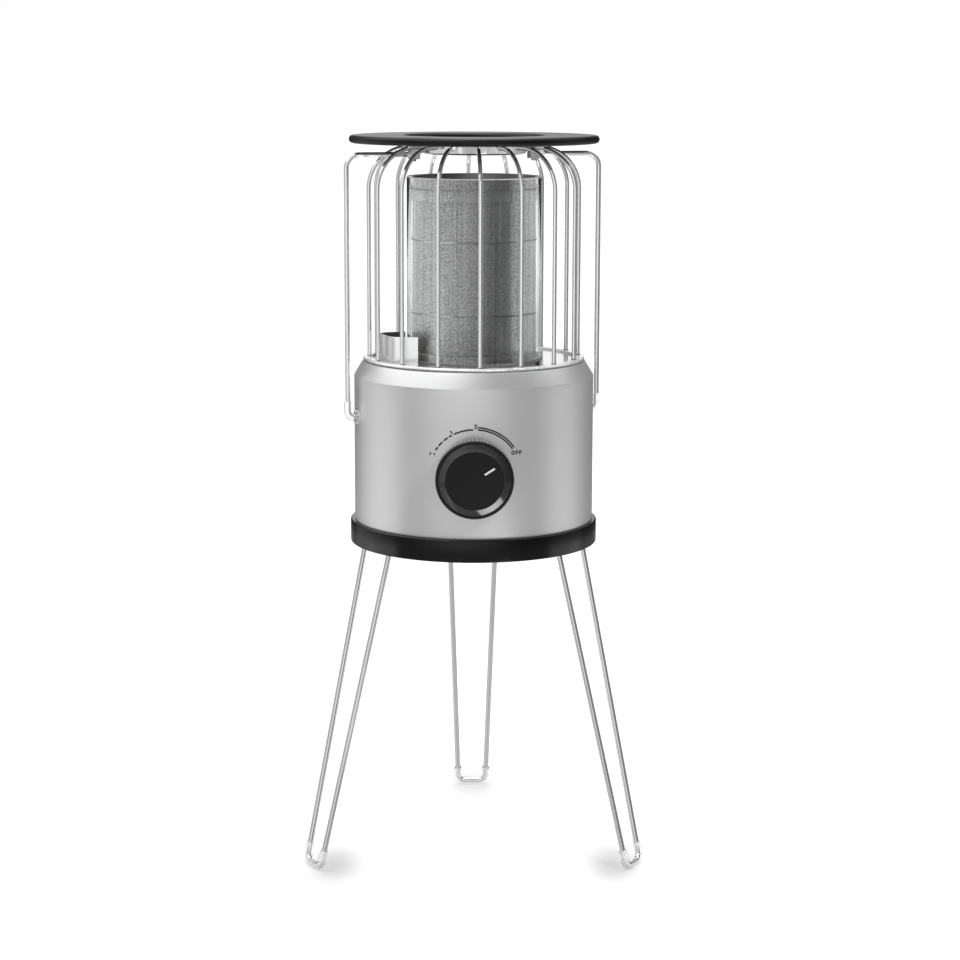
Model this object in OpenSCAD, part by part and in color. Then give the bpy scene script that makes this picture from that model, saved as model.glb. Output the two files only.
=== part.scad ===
// Portable propane heater on three wire legs: a drum with the gas valve inside,
// a mesh burner in a glass tube under a wire cage, and a black top plate.
// Millimetres, +Z up, the floor at z = 0, the knob on the -Y side.

/* [Drum] */
// Outer radius of the drum shell
drum_r = 100; // [96:0.5:104]
// Wall of the drum shell
drum_wall = 1.2; // [1:0.1:1.6]
// Height of the drum's lower edge above the floor
drum_z0 = 283; // [282:0.1:285]
// Height where the drum's shoulder starts
shoulder_z = 404.6; // [402:0.1:406]
// Outer radius of the black base ring
base_r = 103.6; // [102:0.1:106]
// Height of the base ring's underside above the floor
base_z0 = 264.5; // [264:0.1:266]

/* [Cage] */
// Radius of the circle the cage wires stand on
cage_r = 87.1; // [86:0.1:88]
// Thickness of a cage wire
cage_wire_d = 3.5; // [3:0.1:4]
// Number of cage wires
cage_n = 16; // [16]
// Turn of the cage about the drum's axis, degrees
cage_turn = 2.92; // [2:0.01:4]
// Bend radius of the cage wires under the top plate
cage_bend = 34.2; // [32:0.1:36]
// Height of the cage wires' flat top run, to their middle
cage_top_z = 593; // [592:0.1:594]

/* [Top plate] */
// Outer radius of the top plate
plate_r = 103.2; // [102:0.1:105]
// Height of the top plate's upper face
plate_z1 = 602.6; // [602:0.1:604]
// Radius of the shallow recess in the top plate
recess_r = 57.5; // [56:0.5:58]

/* [Carrying wires] */
// Thickness of the two carrying wires
carry_d = 4.2; // [4:0.1:4.5]
// Distance of the carrying wires' upright run from the drum's axis
carry_r = 107.6; // [107:0.1:109]
// Height of the carrying wires' top run
carry_z1 = 587; // [586:0.1:588]
// Height where the carrying wires enter the drum
carry_z0 = 371.5; // [370:0.5:375]

/* [Burner] */
// Outer radius of the glass tube
glass_r = 55.8; // [55.5:0.1:56]
// Wall of the glass tube
glass_wall = 1.8; // [1.6:0.1:1.9]
// Height of the glass tube's upper edge
glass_z1 = 569; // [568:0.5:572]
// Outer radius of the burner mesh
mesh_r = 51.4; // [51:0.1:51.5]
// Height of the burner mesh's upper edge
mesh_z1 = 568.8; // [567:0.1:568.9]

/* [Knob] */
// Outer radius of the knob
knob_r = 31.3; // [30:0.1:32]
// Height of the knob's axis above the floor
knob_z = 334.8; // [334:0.1:336]
// How far the knob can be pushed in
knob_push = 3; // [2.5:0.1:3]
// Angle of the pointer at OFF, above horizontal right, degrees
off_angle = 32.5; // [30:0.5:35]

/* [Legs] */
// Thickness of the leg wire
leg_d = 4.4; // [4.2:0.1:4.6]
// Distance of a leg's middle from the drum's axis at the base ring's underside
leg_r_top = 92.35; // [92:0.05:93]
// Distance of a leg's middle from the drum's axis at the floor
leg_r_foot = 154.4; // [150:0.1:158]
// Half the width of a hairpin leg at the base ring
leg_half_top = 20.8; // [20:0.1:22]
// Half the width of a hairpin leg at the floor
leg_half_foot = 12.4; // [12:0.1:13]

/* [Hidden] */
$fn = 96;
// The drum's axis lies a little ahead of the middle of the whole heater.
axis_y = -16.9;
carry_a = cage_turn + 11.25;
leg_angles = [-150, -30, 90];
leg_run = leg_r_foot - leg_r_top;
leg_tilt = atan2(leg_run, base_z0);
sleeve_r = leg_d / 2 + 1.1;
socket_len = 32;
socket_r = 4;
deck_z = 418.1;
plate_z0 = plate_z1 - 6.5;
ring_z0 = cage_top_z + cage_wire_d / 2;
shroud_c = [-64, -21];
shroud_a = atan2(21, 64);

module at_axis() { translate([0, axis_y, 0]) children(); }
module around(a) { rotate([0, 0, a]) children(); }
// Turns a child made along +Z so that it runs along -Y through the knob's axis.
module on_knob_axis() { translate([0, 0, knob_z]) rotate([90, 0, 0]) children(); }

// Points of an arc, for profiles with rounded corners.
function arc(c, r, a0, a1, n = 6) =
  [for (i = [0:n]) [c[0] + r * cos(a0 + (a1 - a0) * i / n), c[1] + r * sin(a0 + (a1 - a0) * i / n)]];

// A round wire or tube along a flat path in the XY plane with filleted corners.
// Each bend is 0.03 mm thinner than the runs and reaches 0.3 mm into them.
function unit(v) = v / norm(v);
function cut(pts, rad, i) =
  (i <= 0 || i >= len(pts) - 1) ? 0 :
  let (u = unit(pts[i - 1] - pts[i]), w = unit(pts[i + 1] - pts[i]),
       h = acos(max(-1, min(1, u * w))) / 2)
  rad[i] / tan(h);
function turn_sign(u, w) = u[0] * w[1] - u[1] * w[0] > 0 ? 1 : -1;
module flat_wire(pts, rad, r, fn = 24) {
  n = len(pts);
  for (i = [0:n - 2]) {
    d = unit(pts[i + 1] - pts[i]);
    a = pts[i] + d * cut(pts, rad, i);
    l = norm(pts[i + 1] - pts[i]) - cut(pts, rad, i) - cut(pts, rad, i + 1);
    translate([a[0], a[1], 0]) rotate([0, 0, atan2(d[1], d[0])]) rotate([0, 90, 0])
      cylinder(r = r, h = l, $fn = fn);
  }
  if (n > 2) for (i = [1:n - 2]) {
    u = unit(pts[i] - pts[i - 1]);
    w = unit(pts[i + 1] - pts[i]);
    s = turn_sign(u, w);
    p = pts[i] - u * cut(pts, rad, i);
    c = p + s * rad[i] * [-u[1], u[0]];
    bend = acos(max(-1, min(1, u * w)));
    a0 = atan2(p[1] - c[1], p[0] - c[0]);
    ext = 0.3 / rad[i] * 180 / PI;
    translate([c[0], c[1], 0]) rotate([0, 0, (s > 0 ? a0 : a0 - bend) - ext])
      rotate_extrude(angle = bend + 2 * ext, $fn = 96) translate([rad[i], 0]) circle(r = r - 0.03, $fn = fn);
  }
}
// Stands a flat path up in the plane that holds Z, at an angle about Z.
module upright(a) { rotate([0, 0, a]) rotate([90, 0, 0]) children(); }

// ---------- base and drum ----------

module base_ring() color([0.09, 0.09, 0.09]) at_axis() difference() {
  rotate_extrude($fn = 180) polygon(concat(
    [[80, base_z0], [80, base_z0 + 3.5], [98, base_z0 + 3.5], [98, drum_z0 - 3],
     [93.4, drum_z0 - 3], [93.4, drum_z0 + 4], [drum_r - drum_wall - 0.3, drum_z0 + 4],
     [drum_r - drum_wall - 0.3, drum_z0]],
    arc([base_r - 1.5, drum_z0 - 1.5], 1.5, 90, 0),
    arc([base_r - 1, base_z0 + 1], 1, 0, -90)));
  for (a = leg_angles, s = [-1, 1]) socket_axis(a, s)
    translate([0, 0, -6]) cylinder(r = socket_r + 0.05, h = socket_len + 12, $fn = 48);
  for (i = [0:5]) around(30 + 60 * i + 30) translate([83, 0, base_z0 - 1])
    cylinder(r = 1.5, h = 6, $fn = 24);
}

// Places a child on the slanted centre line of one leg prong, +Z up into the base.
module socket_axis(a, s) {
  around(a) translate([leg_r_top, s * leg_half_top, base_z0])
    rotate([0, -leg_tilt, 0]) children();
}

module base_pan() color([0.72, 0.72, 0.72]) at_axis() difference() {
  translate([0, 0, base_z0 + 3.5]) cylinder(r = 86, h = 1.2, $fn = 120);
  for (i = [0:17]) around(20 * i + 10) translate([52, -2.5, base_z0]) cube([18, 5, 10]);
  for (i = [0:11]) around(30 * i) translate([28, -2, base_z0]) cube([14, 4, 10]);
  for (i = [0:5]) around(60 * i) translate([83, 0, base_z0]) cylinder(r = 1.7, h = 10, $fn = 24);
  for (a = leg_angles, s = [-1, 1]) socket_axis(a, s)
    translate([0, 0, -6]) cylinder(r = socket_r + 0.4, h = socket_len + 12, $fn = 48);
}

module base_pan_screws() color([0.75, 0.75, 0.76]) at_axis()
  for (i = [0:5]) around(60 * i) translate([83, 0, base_z0 + 4.7]) difference() {
    union() {
      cylinder(r1 = 3.1, r2 = 2.2, h = 2, $fn = 32);
      translate([0, 0, -4]) cylinder(r = 1.4, h = 4.5, $fn = 24);
    }
    translate([-0.4, -2, 1.2]) cube([0.8, 4, 2]);
    translate([-2, -0.4, 1.2]) cube([4, 0.8, 2]);
  }

module leg_sockets() color([0.7, 0.71, 0.72]) at_axis()
  for (a = leg_angles, s = [-1, 1]) difference() {
    socket_axis(a, s) difference() {
      translate([0, 0, -4]) cylinder(r = socket_r, h = socket_len + 6.5, $fn = 48);
      translate([0, 0, -5]) cylinder(r = leg_d / 2 + 0.05, h = socket_len + 5, $fn = 48);
    }
    around(a) translate([leg_r_top - 30, -40, base_z0 - 20]) cube([60, 80, 20]);
  }

module body_shell() color([0.66, 0.66, 0.67]) at_axis() difference() {
  rotate_extrude($fn = 180) polygon([
    [drum_r, drum_z0], [drum_r, shoulder_z], [92.6, deck_z - 1.2], [84, deck_z - 1.2],
    [84, deck_z - 2.4], [91.9, deck_z - 2.4], [drum_r - drum_wall, shoulder_z - 0.5],
    [drum_r - drum_wall, drum_z0]]);
  on_knob_axis() translate([0, 0, 90]) cylinder(r = 8.5, h = 20, $fn = 64);
  for (a = [carry_a, carry_a + 180]) around(a) translate([94, 0, carry_z0]) rotate([0, 90, 0])
    cylinder(r = 4.5, h = 12, $fn = 48);
  translate([0, 94, 326]) rotate([-90, 0, 0]) cylinder(r = 9, h = 12, $fn = 48);
}

// ---------- deck and cage ----------

module deck_plate() color([0.9, 0.9, 0.9]) at_axis() difference() {
  translate([0, 0, deck_z - 1.2]) cylinder(r = 92, h = 1.2, $fn = 180);
  translate([0, 0, deck_z - 3]) cylinder(r = 46.4, h = 6, $fn = 120);
  translate([shroud_c[0], shroud_c[1], deck_z - 3]) cylinder(r = 11, h = 6, $fn = 48);
}

module cage_rim_hoop() color([0.85, 0.85, 0.86]) at_axis()
  rotate_extrude($fn = 180) polygon(concat(
    [[84.6, deck_z], [91.2, deck_z]],
    arc([91.2, deck_z + 0.9], 0.9, -90, 90, 6),
    [[85.6, deck_z + 1.8]], arc([85.5, deck_z + 0.9], 0.9, 90, 180, 4)));

module cage_wires() color([0.86, 0.87, 0.88]) at_axis()
  for (i = [0:cage_n - 1]) upright(cage_turn + i * 360 / cage_n)
    flat_wire([[cage_r, deck_z + 1.8], [cage_r, cage_top_z], [46.6, cage_top_z]],
              [0, cage_bend, 0], cage_wire_d / 2);

module cage_top_ring() color([0.8, 0.8, 0.81]) at_axis() difference() {
  translate([0, 0, ring_z0]) cylinder(r = 60, h = 0.75, $fn = 120);
  translate([0, 0, ring_z0 - 1]) cylinder(r = 46.2, h = 4, $fn = 120);
  for (i = [0:3]) around(carry_a + 45 + 90 * i) translate([54, 0, ring_z0 - 1])
    cylinder(r = 2.1, h = 4, $fn = 32);
}

module top_plate() color([0.12, 0.12, 0.12]) at_axis() difference() {
  rotate_extrude($fn = 180) polygon(concat(
    [[0, plate_z0], [plate_r - 3.4, plate_z0]],
    arc([plate_r - 3.2, plate_z0 + 3.25], 3.25, -86, 86, 12),
    [[plate_r - 3.4, plate_z1]],
    arc([recess_r + 1.6, plate_z1 - 1.6], 1.6, 90, 180, 5),
    arc([recess_r - 1.4, plate_z1 - 3.1], 1.4, 0, -90, 5),
    [[0, plate_z1 - 4.5]]));
  for (i = [0:3]) around(carry_a + 45 + 90 * i) translate([54, 0, plate_z0 - 1])
    cylinder(r = 1.7, h = 2.6, $fn = 32);
}

module top_plate_screws() color([0.7, 0.7, 0.72]) at_axis()
  for (i = [0:3]) around(carry_a + 45 + 90 * i) translate([54, 0, ring_z0]) difference() {
    union() {
      translate([0, 0, -2.2]) cylinder(r = 3.4, h = 2.2, $fn = 6);
      cylinder(r = 1.65, h = plate_z0 + 1.4 - ring_z0, $fn = 32);
    }
    translate([0, 0, -3]) cylinder(r = 1.3, h = 2, $fn = 6);
  }

module deflector_dish() color([0.82, 0.83, 0.84]) at_axis() difference() {
  rotate_extrude($fn = 120) polygon([
    [0, 587.2], [39.6, 587.2], [41.5, 587.9], [42.5, 589.3], [44.9, ring_z0 - 0.1], [46, ring_z0 + 0.75],
    [58, ring_z0 + 0.75], [58, plate_z0], [44.9, plate_z0], [44.2, ring_z0 + 0.2], [41.8, 589.7],
    [41, 588.6], [39.3, 588], [0, 588]]);
  for (i = [0:3]) around(carry_a + 45 + 90 * i) translate([54, 0, ring_z0 - 1])
    cylinder(r = 2.1, h = 4, $fn = 32);
}

// ---------- carrying wires ----------

module carry_path(r) {
  flat_wire([[48, carry_z1], [carry_r, carry_z1], [carry_r, carry_z0], [97.5, carry_z0]],
            [0, 11, 5, 0], r);
}
module carrying_wires() color([0.86, 0.87, 0.88]) at_axis()
  for (a = [carry_a, carry_a + 180]) upright(a) carry_path(carry_d / 2);

module carry_clips() color([0.78, 0.78, 0.8]) at_axis()
  for (a = [carry_a, carry_a + 180]) around(a) difference() {
    union() {
      translate([46.9, -5.5, 583.2]) cube([7.6, 11, 7.6]);
      translate([46.9, -5.5, 590.8]) cube([1.5, 11, ring_z0 - 590.81]);
      translate([46.9, -5.5, ring_z0 - 1.2]) cube([10.1, 11, 1.19]);
    }
    translate([46, 0, carry_z1]) rotate([0, 90, 0]) cylinder(r = carry_d / 2 + 0.05, h = 10, $fn = 32);
    translate([51.6, 0, 580]) cylinder(r = 1.3, h = 4.4, $fn = 24);
  }

module carry_clip_screws() color([0.6, 0.6, 0.62]) at_axis()
  for (a = [carry_a, carry_a + 180]) around(a) translate([51.6, 0, 583.2]) difference() {
    union() {
      translate([0, 0, -1.8]) cylinder(r = 2.6, h = 1.8, $fn = 32);
      cylinder(r = 1.25, h = 1.1, $fn = 24);
    }
    translate([-0.4, -3, -2.4]) cube([0.8, 6, 1.4]);
  }

module carry_sleeves() color([0.93, 0.93, 0.92, 0.7]) at_axis()
  for (a = [carry_a, carry_a + 180]) upright(a) difference() {
    flat_wire([[carry_r, carry_z0 + 13], [carry_r, carry_z0], [102.2, carry_z0]], [0, 5, 0], carry_d / 2 + 1);
    flat_wire([[carry_r, carry_z0 + 14], [carry_r, carry_z0], [101, carry_z0]], [0, 5, 0], carry_d / 2 + 0.05);
  }

module carry_grommets() color([0.93, 0.93, 0.92]) at_axis()
  for (a = [carry_a, carry_a + 180]) around(a) translate([0, 0, carry_z0]) rotate([0, 90, 0]) difference() {
    union() {
      translate([0, 0, 96.6]) cylinder(r = 4.4, h = 4, $fn = 48);
      translate([0, 0, 100.15]) cylinder(r = 5.6, h = 1.9, $fn = 48);
      translate([0, 0, 96.6]) cylinder(r = 5.4, h = 1.6, $fn = 48);
    }
    translate([0, 0, 90]) cylinder(r = carry_d / 2 + 0.05, h = 20, $fn = 32);
  }

// ---------- burner ----------

module glass_tube() color([0.85, 0.9, 0.92, 0.35]) at_axis() difference() {
  translate([0, 0, deck_z + 1]) cylinder(r = glass_r, h = glass_z1 - deck_z - 1, $fn = 180);
  translate([0, 0, deck_z]) cylinder(r = glass_r - glass_wall, h = 200, $fn = 180);
}

module glass_gasket() color([0.2, 0.2, 0.2]) at_axis() difference() {
  translate([0, 0, deck_z]) cylinder(r = glass_r + 0.7, h = 1, $fn = 120);
  translate([0, 0, deck_z - 1]) cylinder(r = glass_r - glass_wall, h = 4, $fn = 120);
}

module burner_mesh() color([0.45, 0.45, 0.46]) at_axis() difference() {
  translate([0, 0, 421.8]) cylinder(r = mesh_r, h = mesh_z1 - 421.8, $fn = 180);
  translate([0, 0, 420]) cylinder(r = mesh_r - 0.8, h = 160, $fn = 180);
}

module band(z0, z1, r) difference() {
  translate([0, 0, z0]) cylinder(r = r, h = z1 - z0, $fn = 180);
  translate([0, 0, z0 - 1]) cylinder(r = mesh_r + 0.05, h = z1 - z0 + 2, $fn = 180);
}
module mesh_bands() color([0.5, 0.5, 0.51]) at_axis() {
  band(549.8, 559, 53.5);
  band(516.9, 517.7, 52.3);
  band(488.2, 489, 52.3);
  band(457, 457.8, 52.3);
  band(421.9, 426.2, 53.5);
}

module burner_cap() color([0.55, 0.55, 0.56]) at_axis()
  rotate_extrude($fn = 120) polygon([
    [0, 561.6], [mesh_r - 2.3, 561.6], [mesh_r - 1, 562.4], [mesh_r - 1, 565.2],
    [mesh_r - 1.9, 565.2], [mesh_r - 1.9, 563], [mesh_r - 2.6, 562.6], [0, 562.6]]);

module distributor_tube() color([0.6, 0.58, 0.55]) at_axis() difference() {
  translate([0, 0, 421.2]) cylinder(r = 39, h = 140, $fn = 96);
  translate([0, 0, 420]) cylinder(r = 38.2, h = 150, $fn = 96);
  for (k = [0:3], i = [0:5]) translate([0, 0, 440 + 34 * k]) around(60 * i + 30 * (k % 2))
    translate([34, 0, 0]) rotate([0, 90, 0]) cylinder(r = 3, h = 10, $fn = 24);
}

module burner_base() color([0.5, 0.5, 0.5]) at_axis()
  rotate_extrude($fn = 120) polygon([
    [16, 400], [20, 400], [20, 412.5], [46, 412.5], [46, 418.1], [53.4, 418.1], [53.4, 421.8],
    [49.8, 421.8], [49.8, 421.1], [37, 421.1], [37, 416], [16, 416]]);

module mixing_tube() color([0.62, 0.62, 0.63]) at_axis()
  rotate_extrude($fn = 96) polygon([
    [15.9, 402], [15.9, 381], [12, 356], [12, 336], [22, 318], [20.4, 318], [10.4, 336.4],
    [10.4, 356.4], [14.4, 381.6], [14.4, 402]]);

module main_jet() color([0.8, 0.65, 0.3]) at_axis() difference() {
  union() {
    translate([0, 0, 298]) cylinder(r = 6, h = 7, $fn = 6);
    translate([0, 0, 305]) cylinder(r = 3.6, h = 7, $fn = 48);
    translate([0, 0, 312]) cylinder(r1 = 3.6, r2 = 1.4, h = 4, $fn = 48);
    translate([0, 0, 289]) cylinder(r = 3.9, h = 9, $fn = 48);
  }
  translate([0, 0, 280]) cylinder(r = 1.8, h = 33, $fn = 24);
  translate([0, 0, 310]) cylinder(r = 0.5, h = 10, $fn = 16);
}

module jet_bracket() color([0.7, 0.7, 0.7]) at_axis() difference() {
  union() {
    translate([-30, -9, 296.5]) cube([60, 18, 1.5]);
    for (s = [-1, 1]) translate([s * 30 - (s > 0 ? 1.5 : 0), -9, 269.2]) cube([1.5, 18, 28.8]);
    for (s = [-1, 1]) translate([s > 0 ? 28.5 : -41, -9, 269.2]) cube([12.5, 18, 1.5]);
  }
  translate([0, 0, 290]) cylinder(r = 4, h = 12, $fn = 48);
}

// ---------- pilot ----------

module at_shroud() { translate([shroud_c[0], shroud_c[1], 0]) around(shroud_a) children(); }

// Outline of the shroud seen from above, open towards the burner; g insets it.
function shroud_line(g) = concat(
  [[g > 0 ? 12 : 10, -20 + g]], arc([-3, -11], 9 - g, -90, -180, 8), arc([-3, 11], 9 - g, 180, 90, 8),
  [[g > 0 ? 12 : 10, 20 - g]]);

module pilot_shroud() color([0.85, 0.85, 0.86]) at_axis() at_shroud() translate([0, 0, deck_z]) difference() {
  linear_extrude(21.8) polygon(shroud_line(0));
  translate([0, 0, -1]) linear_extrude(30) polygon(shroud_line(0.8));
  translate([-20, -4, -1]) cube([10, 8, 5]);
  translate([0, -25, -1]) cube([6, 50, 4]);
}

module pilot_burner() color([0.75, 0.62, 0.35]) at_axis() at_shroud() difference() {
  union() {
    translate([-4, 0, 404]) cylinder(r = 4, h = 24, $fn = 32);
    translate([-4, 0, 428]) cylinder(r = 5, h = 5, $fn = 32);
    translate([-4, 0, 398]) cylinder(r = 2.6, h = 6, $fn = 32);
  }
  translate([-4, 0, 429.5]) cylinder(r = 4, h = 6, $fn = 32);
  translate([-4, 0, 429]) rotate([0, 90, 0]) cylinder(r = 1.4, h = 8, $fn = 24);
}

// Flat route in the upright plane through two points of the plan.
module plan_route(p, q, pts, rad, r) {
  d = q - p;
  translate([p[0], p[1], 0]) upright(atan2(d[1], d[0])) flat_wire(pts, rad, r);
}
function shroud_point(u, v) =
  [shroud_c[0] + u * cos(shroud_a) - v * sin(shroud_a), shroud_c[1] + u * sin(shroud_a) + v * cos(shroud_a)];

module pilot_pipe() color([0.78, 0.5, 0.32]) at_axis()
  plan_route(pilot_p, pilot_q, [[0, 342], [norm(pilot_q - pilot_p), 342], [norm(pilot_q - pilot_p), 398]],
             [0, 10, 0], 1.6);

module spark_electrode() color([0.9, 0.88, 0.84]) at_axis() at_shroud() union() {
  translate([3, 5, 400]) cylinder(r = 2.3, h = 24, $fn = 32);
  translate([3, 5, 424]) cylinder(r = 0.9, h = 10, $fn = 24);
}

module ignition_lead() color([0.75, 0.15, 0.1]) at_axis() {
  p = [-15.2, -49.5];
  q = shroud_point(3, 5);
  plan_route(p, q, [[0, 357], [norm(q - p), 357], [norm(q - p), 400]], [0, 12, 0], 1.4);
}

module thermocouple_tip() color([0.75, 0.6, 0.35]) at_axis() at_shroud() union() {
  translate([3, -5, 402]) cylinder(r = 1.6, h = 32, $fn = 32);
  translate([3, -5, 399]) cylinder(r = 2.6, h = 3, $fn = 6);
}

module thermocouple_lead() color([0.78, 0.5, 0.32]) at_axis() {
  p = [-8.4, -24];
  q = shroud_point(3, -5);
  plan_route(p, q, [[0, 334.8], [norm(q - p), 334.8], [norm(q - p), 399]], [0, 10, 0], 1);
}

module heat_shield() color([0.8, 0.8, 0.8]) at_axis() difference() {
  translate([0, 0, 392]) cylinder(r = 86, h = 0.8, $fn = 120);
  translate([0, 0, 390]) cylinder(r = 22, h = 5, $fn = 64);
  translate([shroud_c[0], shroud_c[1], 390]) cylinder(r = 13, h = 5, $fn = 48);
  for (a = [40, 160, 280]) around(a) translate([76, 0, 390]) cylinder(r = 1.6, h = 5, $fn = 24);
}

module heat_shield_spacers() color([0.72, 0.72, 0.74]) at_axis()
  for (a = [40, 160, 280]) around(a) translate([76, 0, 0]) union() {
    translate([0, 0, 392.8]) cylinder(r = 3, h = deck_z - 1.2 - 392.8, $fn = 6);
    translate([0, 0, 390.2]) cylinder(r = 1.5, h = 4, $fn = 24);
    translate([0, 0, 389.4]) cylinder(r = 2.8, h = 2.6, $fn = 32);
  }

// ---------- valve, knob ----------

pilot_p = [-14, -60];
pilot_q = shroud_point(-4, 0);
pilot_dir = atan2(pilot_q[1] - pilot_p[1], pilot_q[0] - pilot_p[0]);

module valve_body() color([0.72, 0.72, 0.73]) at_axis() difference() {
  union() {
    translate([-14, -70, 320]) cube([28, 26, 30]);
    on_knob_axis() translate([0, 0, 69]) cylinder(r = 12, h = 6, $fn = 64);
    translate([pilot_p[0], pilot_p[1], 342]) around(pilot_dir) translate([-4.5, 0, 0]) rotate([0, 90, 0])
      cylinder(r = 4, h = 9, $fn = 6);
    translate([13.5, -57, 326]) rotate([0, 90, 0]) cylinder(r = 6, h = 5, $fn = 6);
    translate([0, -57, 315]) cylinder(r = 6, h = 5.5, $fn = 6);
  }
  on_knob_axis() translate([0, 0, 47]) cylinder(r = 9.05, h = 21, $fn = 64);
  on_knob_axis() translate([0, 0, 60]) cylinder(r = 4.6, h = 20, $fn = 48);
  translate([10, -57, 326]) rotate([0, 90, 0]) cylinder(r = 3.2, h = 12, $fn = 32);
  translate([0, -57, 312]) cylinder(r = 3.2, h = 12, $fn = 32);
  translate([pilot_p[0], pilot_p[1], 342]) around(pilot_dir) translate([-0.5, 0, 0]) rotate([0, 90, 0])
    cylinder(r = 1.7, h = 10, $fn = 24);
  for (x = [-11, 11]) translate([x, -71, 346.5]) rotate([-90, 0, 0]) cylinder(r = 1.3, h = 7, $fn = 24);
}

module valve_bracket() color([0.7, 0.7, 0.7]) at_axis() difference() {
  union() {
    translate([-24, -71.5, 269.2]) cube([48, 1.5, 86]);
    translate([-24, -71.5, 269.2]) cube([48, 16, 1.5]);
  }
  on_knob_axis() translate([0, 0, 60]) cylinder(r = 12.1, h = 20, $fn = 64);
  for (x = [-11, 11]) translate([x, -75, 346.5]) rotate([-90, 0, 0]) cylinder(r = 1.6, h = 8, $fn = 24);
}

module valve_screws() color([0.6, 0.6, 0.62]) at_axis()
  for (x = [-11, 11]) translate([x, -71.5, 346.5]) rotate([90, 0, 0]) union() {
    cylinder(r = 2.6, h = 1.6, $fn = 32);
    translate([0, 0, -6]) cylinder(r = 1.25, h = 6.2, $fn = 24);
  }

module safety_magnet() color([0.8, 0.65, 0.3]) at_axis() union() {
  on_knob_axis() translate([0, 0, 26]) cylinder(r = 8.2, h = 18, $fn = 48);
  on_knob_axis() translate([0, 0, 21]) cylinder(r = 5, h = 5, $fn = 6);
  translate([0, -24, knob_z]) rotate([0, -90, 0]) cylinder(r = 1.7, h = 8.2, $fn = 24);
}

module piezo_igniter() color([0.15, 0.15, 0.16]) at_axis() union() {
  translate([-12, -66, 350]) cube([24, 20, 3]);
  translate([12, -56, 358]) rotate([0, -90, 0]) cylinder(r = 6, h = 24, $fn = 48);
  translate([-14, -50, 357]) rotate([0, 90, 0]) cylinder(r = 1.5, h = 3, $fn = 24);
}

module gas_plug() color([0.82, 0.68, 0.35]) at_axis() difference() {
  on_knob_axis() translate([0, 0, 47.4]) cylinder(r = 9, h = 20.2, $fn = 64);
  on_knob_axis() translate([0, 0, 52]) cylinder(r = 4.05, h = 20, $fn = 48);
  on_knob_axis() rotate([0, 0, off_angle]) translate([0, 0, 57]) rotate([0, 90, 0])
    cylinder(r = 1.8, h = 12, $fn = 24);
}

module thrust_plate() color([0.75, 0.75, 0.76]) at_axis() difference() {
  union() {
    translate([-8, -88, knob_z - 10]) cube([16, 2.4, 34]);
    translate([0, -85.6, knob_z + 18]) rotate([90, 0, 0]) cylinder(r = 4, h = 4, $fn = 48);
  }
  on_knob_axis() translate([0, 0, 80]) cylinder(r = 4.05, h = 16, $fn = 48);
}

// The coil lies along the knob's axis, between the valve's collar and the plate.
function coil(t, len, turns, rm) =
  [rm * cos(360 * turns * t), rm * sin(360 * turns * t), len * t];
module return_spring() color([0.8, 0.8, 0.82]) at_axis() {
  rings = 72;
  sides = 6;
  turns = 4.5;
  len0 = 8.8;
  rw = 0.55;
  pts = [for (i = [0:rings - 1], j = [0:sides - 1])
    let (c = coil(i / (rings - 1), len0, turns, 6.9), a = 360 * turns * i / (rings - 1), b = 360 * j / sides)
    [c[0] + rw * cos(b) * cos(a), c[1] + rw * cos(b) * sin(a), c[2] + rw * sin(b)]];
  faces = concat(
    [[for (j = [0:sides - 1]) j]],
    [[for (j = [sides - 1:-1:0]) (rings - 1) * sides + j]],
    [for (i = [0:rings - 2], j = [0:sides - 1])
      [i * sides + j, (i + 1) * sides + j, (i + 1) * sides + (j + 1) % sides, i * sides + (j + 1) % sides]]);
  on_knob_axis() translate([0, 0, 75.9]) polyhedron(points = pts, faces = faces);
}

module valve_stem() color([0.8, 0.8, 0.82]) at_axis() difference() {
  on_knob_axis() union() {
    translate([0, 0, 56]) cylinder(r = 4, h = 60, $fn = 48);
    translate([0, 0, 88.1]) cylinder(r = 6.4, h = 1.6, $fn = 48);
  }
  on_knob_axis() rotate([0, 0, off_angle]) translate([-6, -8, 106]) cube([12, 5, 14]);
}

module knob_body() color([0.08, 0.08, 0.08]) at_axis() difference() {
  union() {
    on_knob_axis() rotate_extrude($fn = 180) polygon(concat(
      [[0, 122.3], [23.4, 122.3], [23.4, 123.5], [28.4, 121.4], [28.6, 121.0], [30.2, 120.8]],
      arc([knob_r - 0.9, 119.9], 0.9, 80, 0, 4),
      [[knob_r, 117.4], [knob_r - 0.55, 116.9], [knob_r - 0.55, 103.6],
       [knob_r - 2.8, 103.6], [knob_r - 2.8, 119], [7.5, 119], [7.5, 106], [0, 106]]));
    on_knob_axis() for (i = [0:71]) rotate([0, 0, 5 * i]) translate([knob_r - 0.9, -0.7, 103.6])
      cube([0.85, 1.4, 13.4]);
  }
  on_knob_axis() difference() {
    translate([0, 0, 100]) cylinder(r = 4.02, h = 16.1, $fn = 48);
    rotate([0, 0, off_angle]) translate([-6, -8, 106]) cube([12, 4.95, 14]);
  }
}

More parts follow.
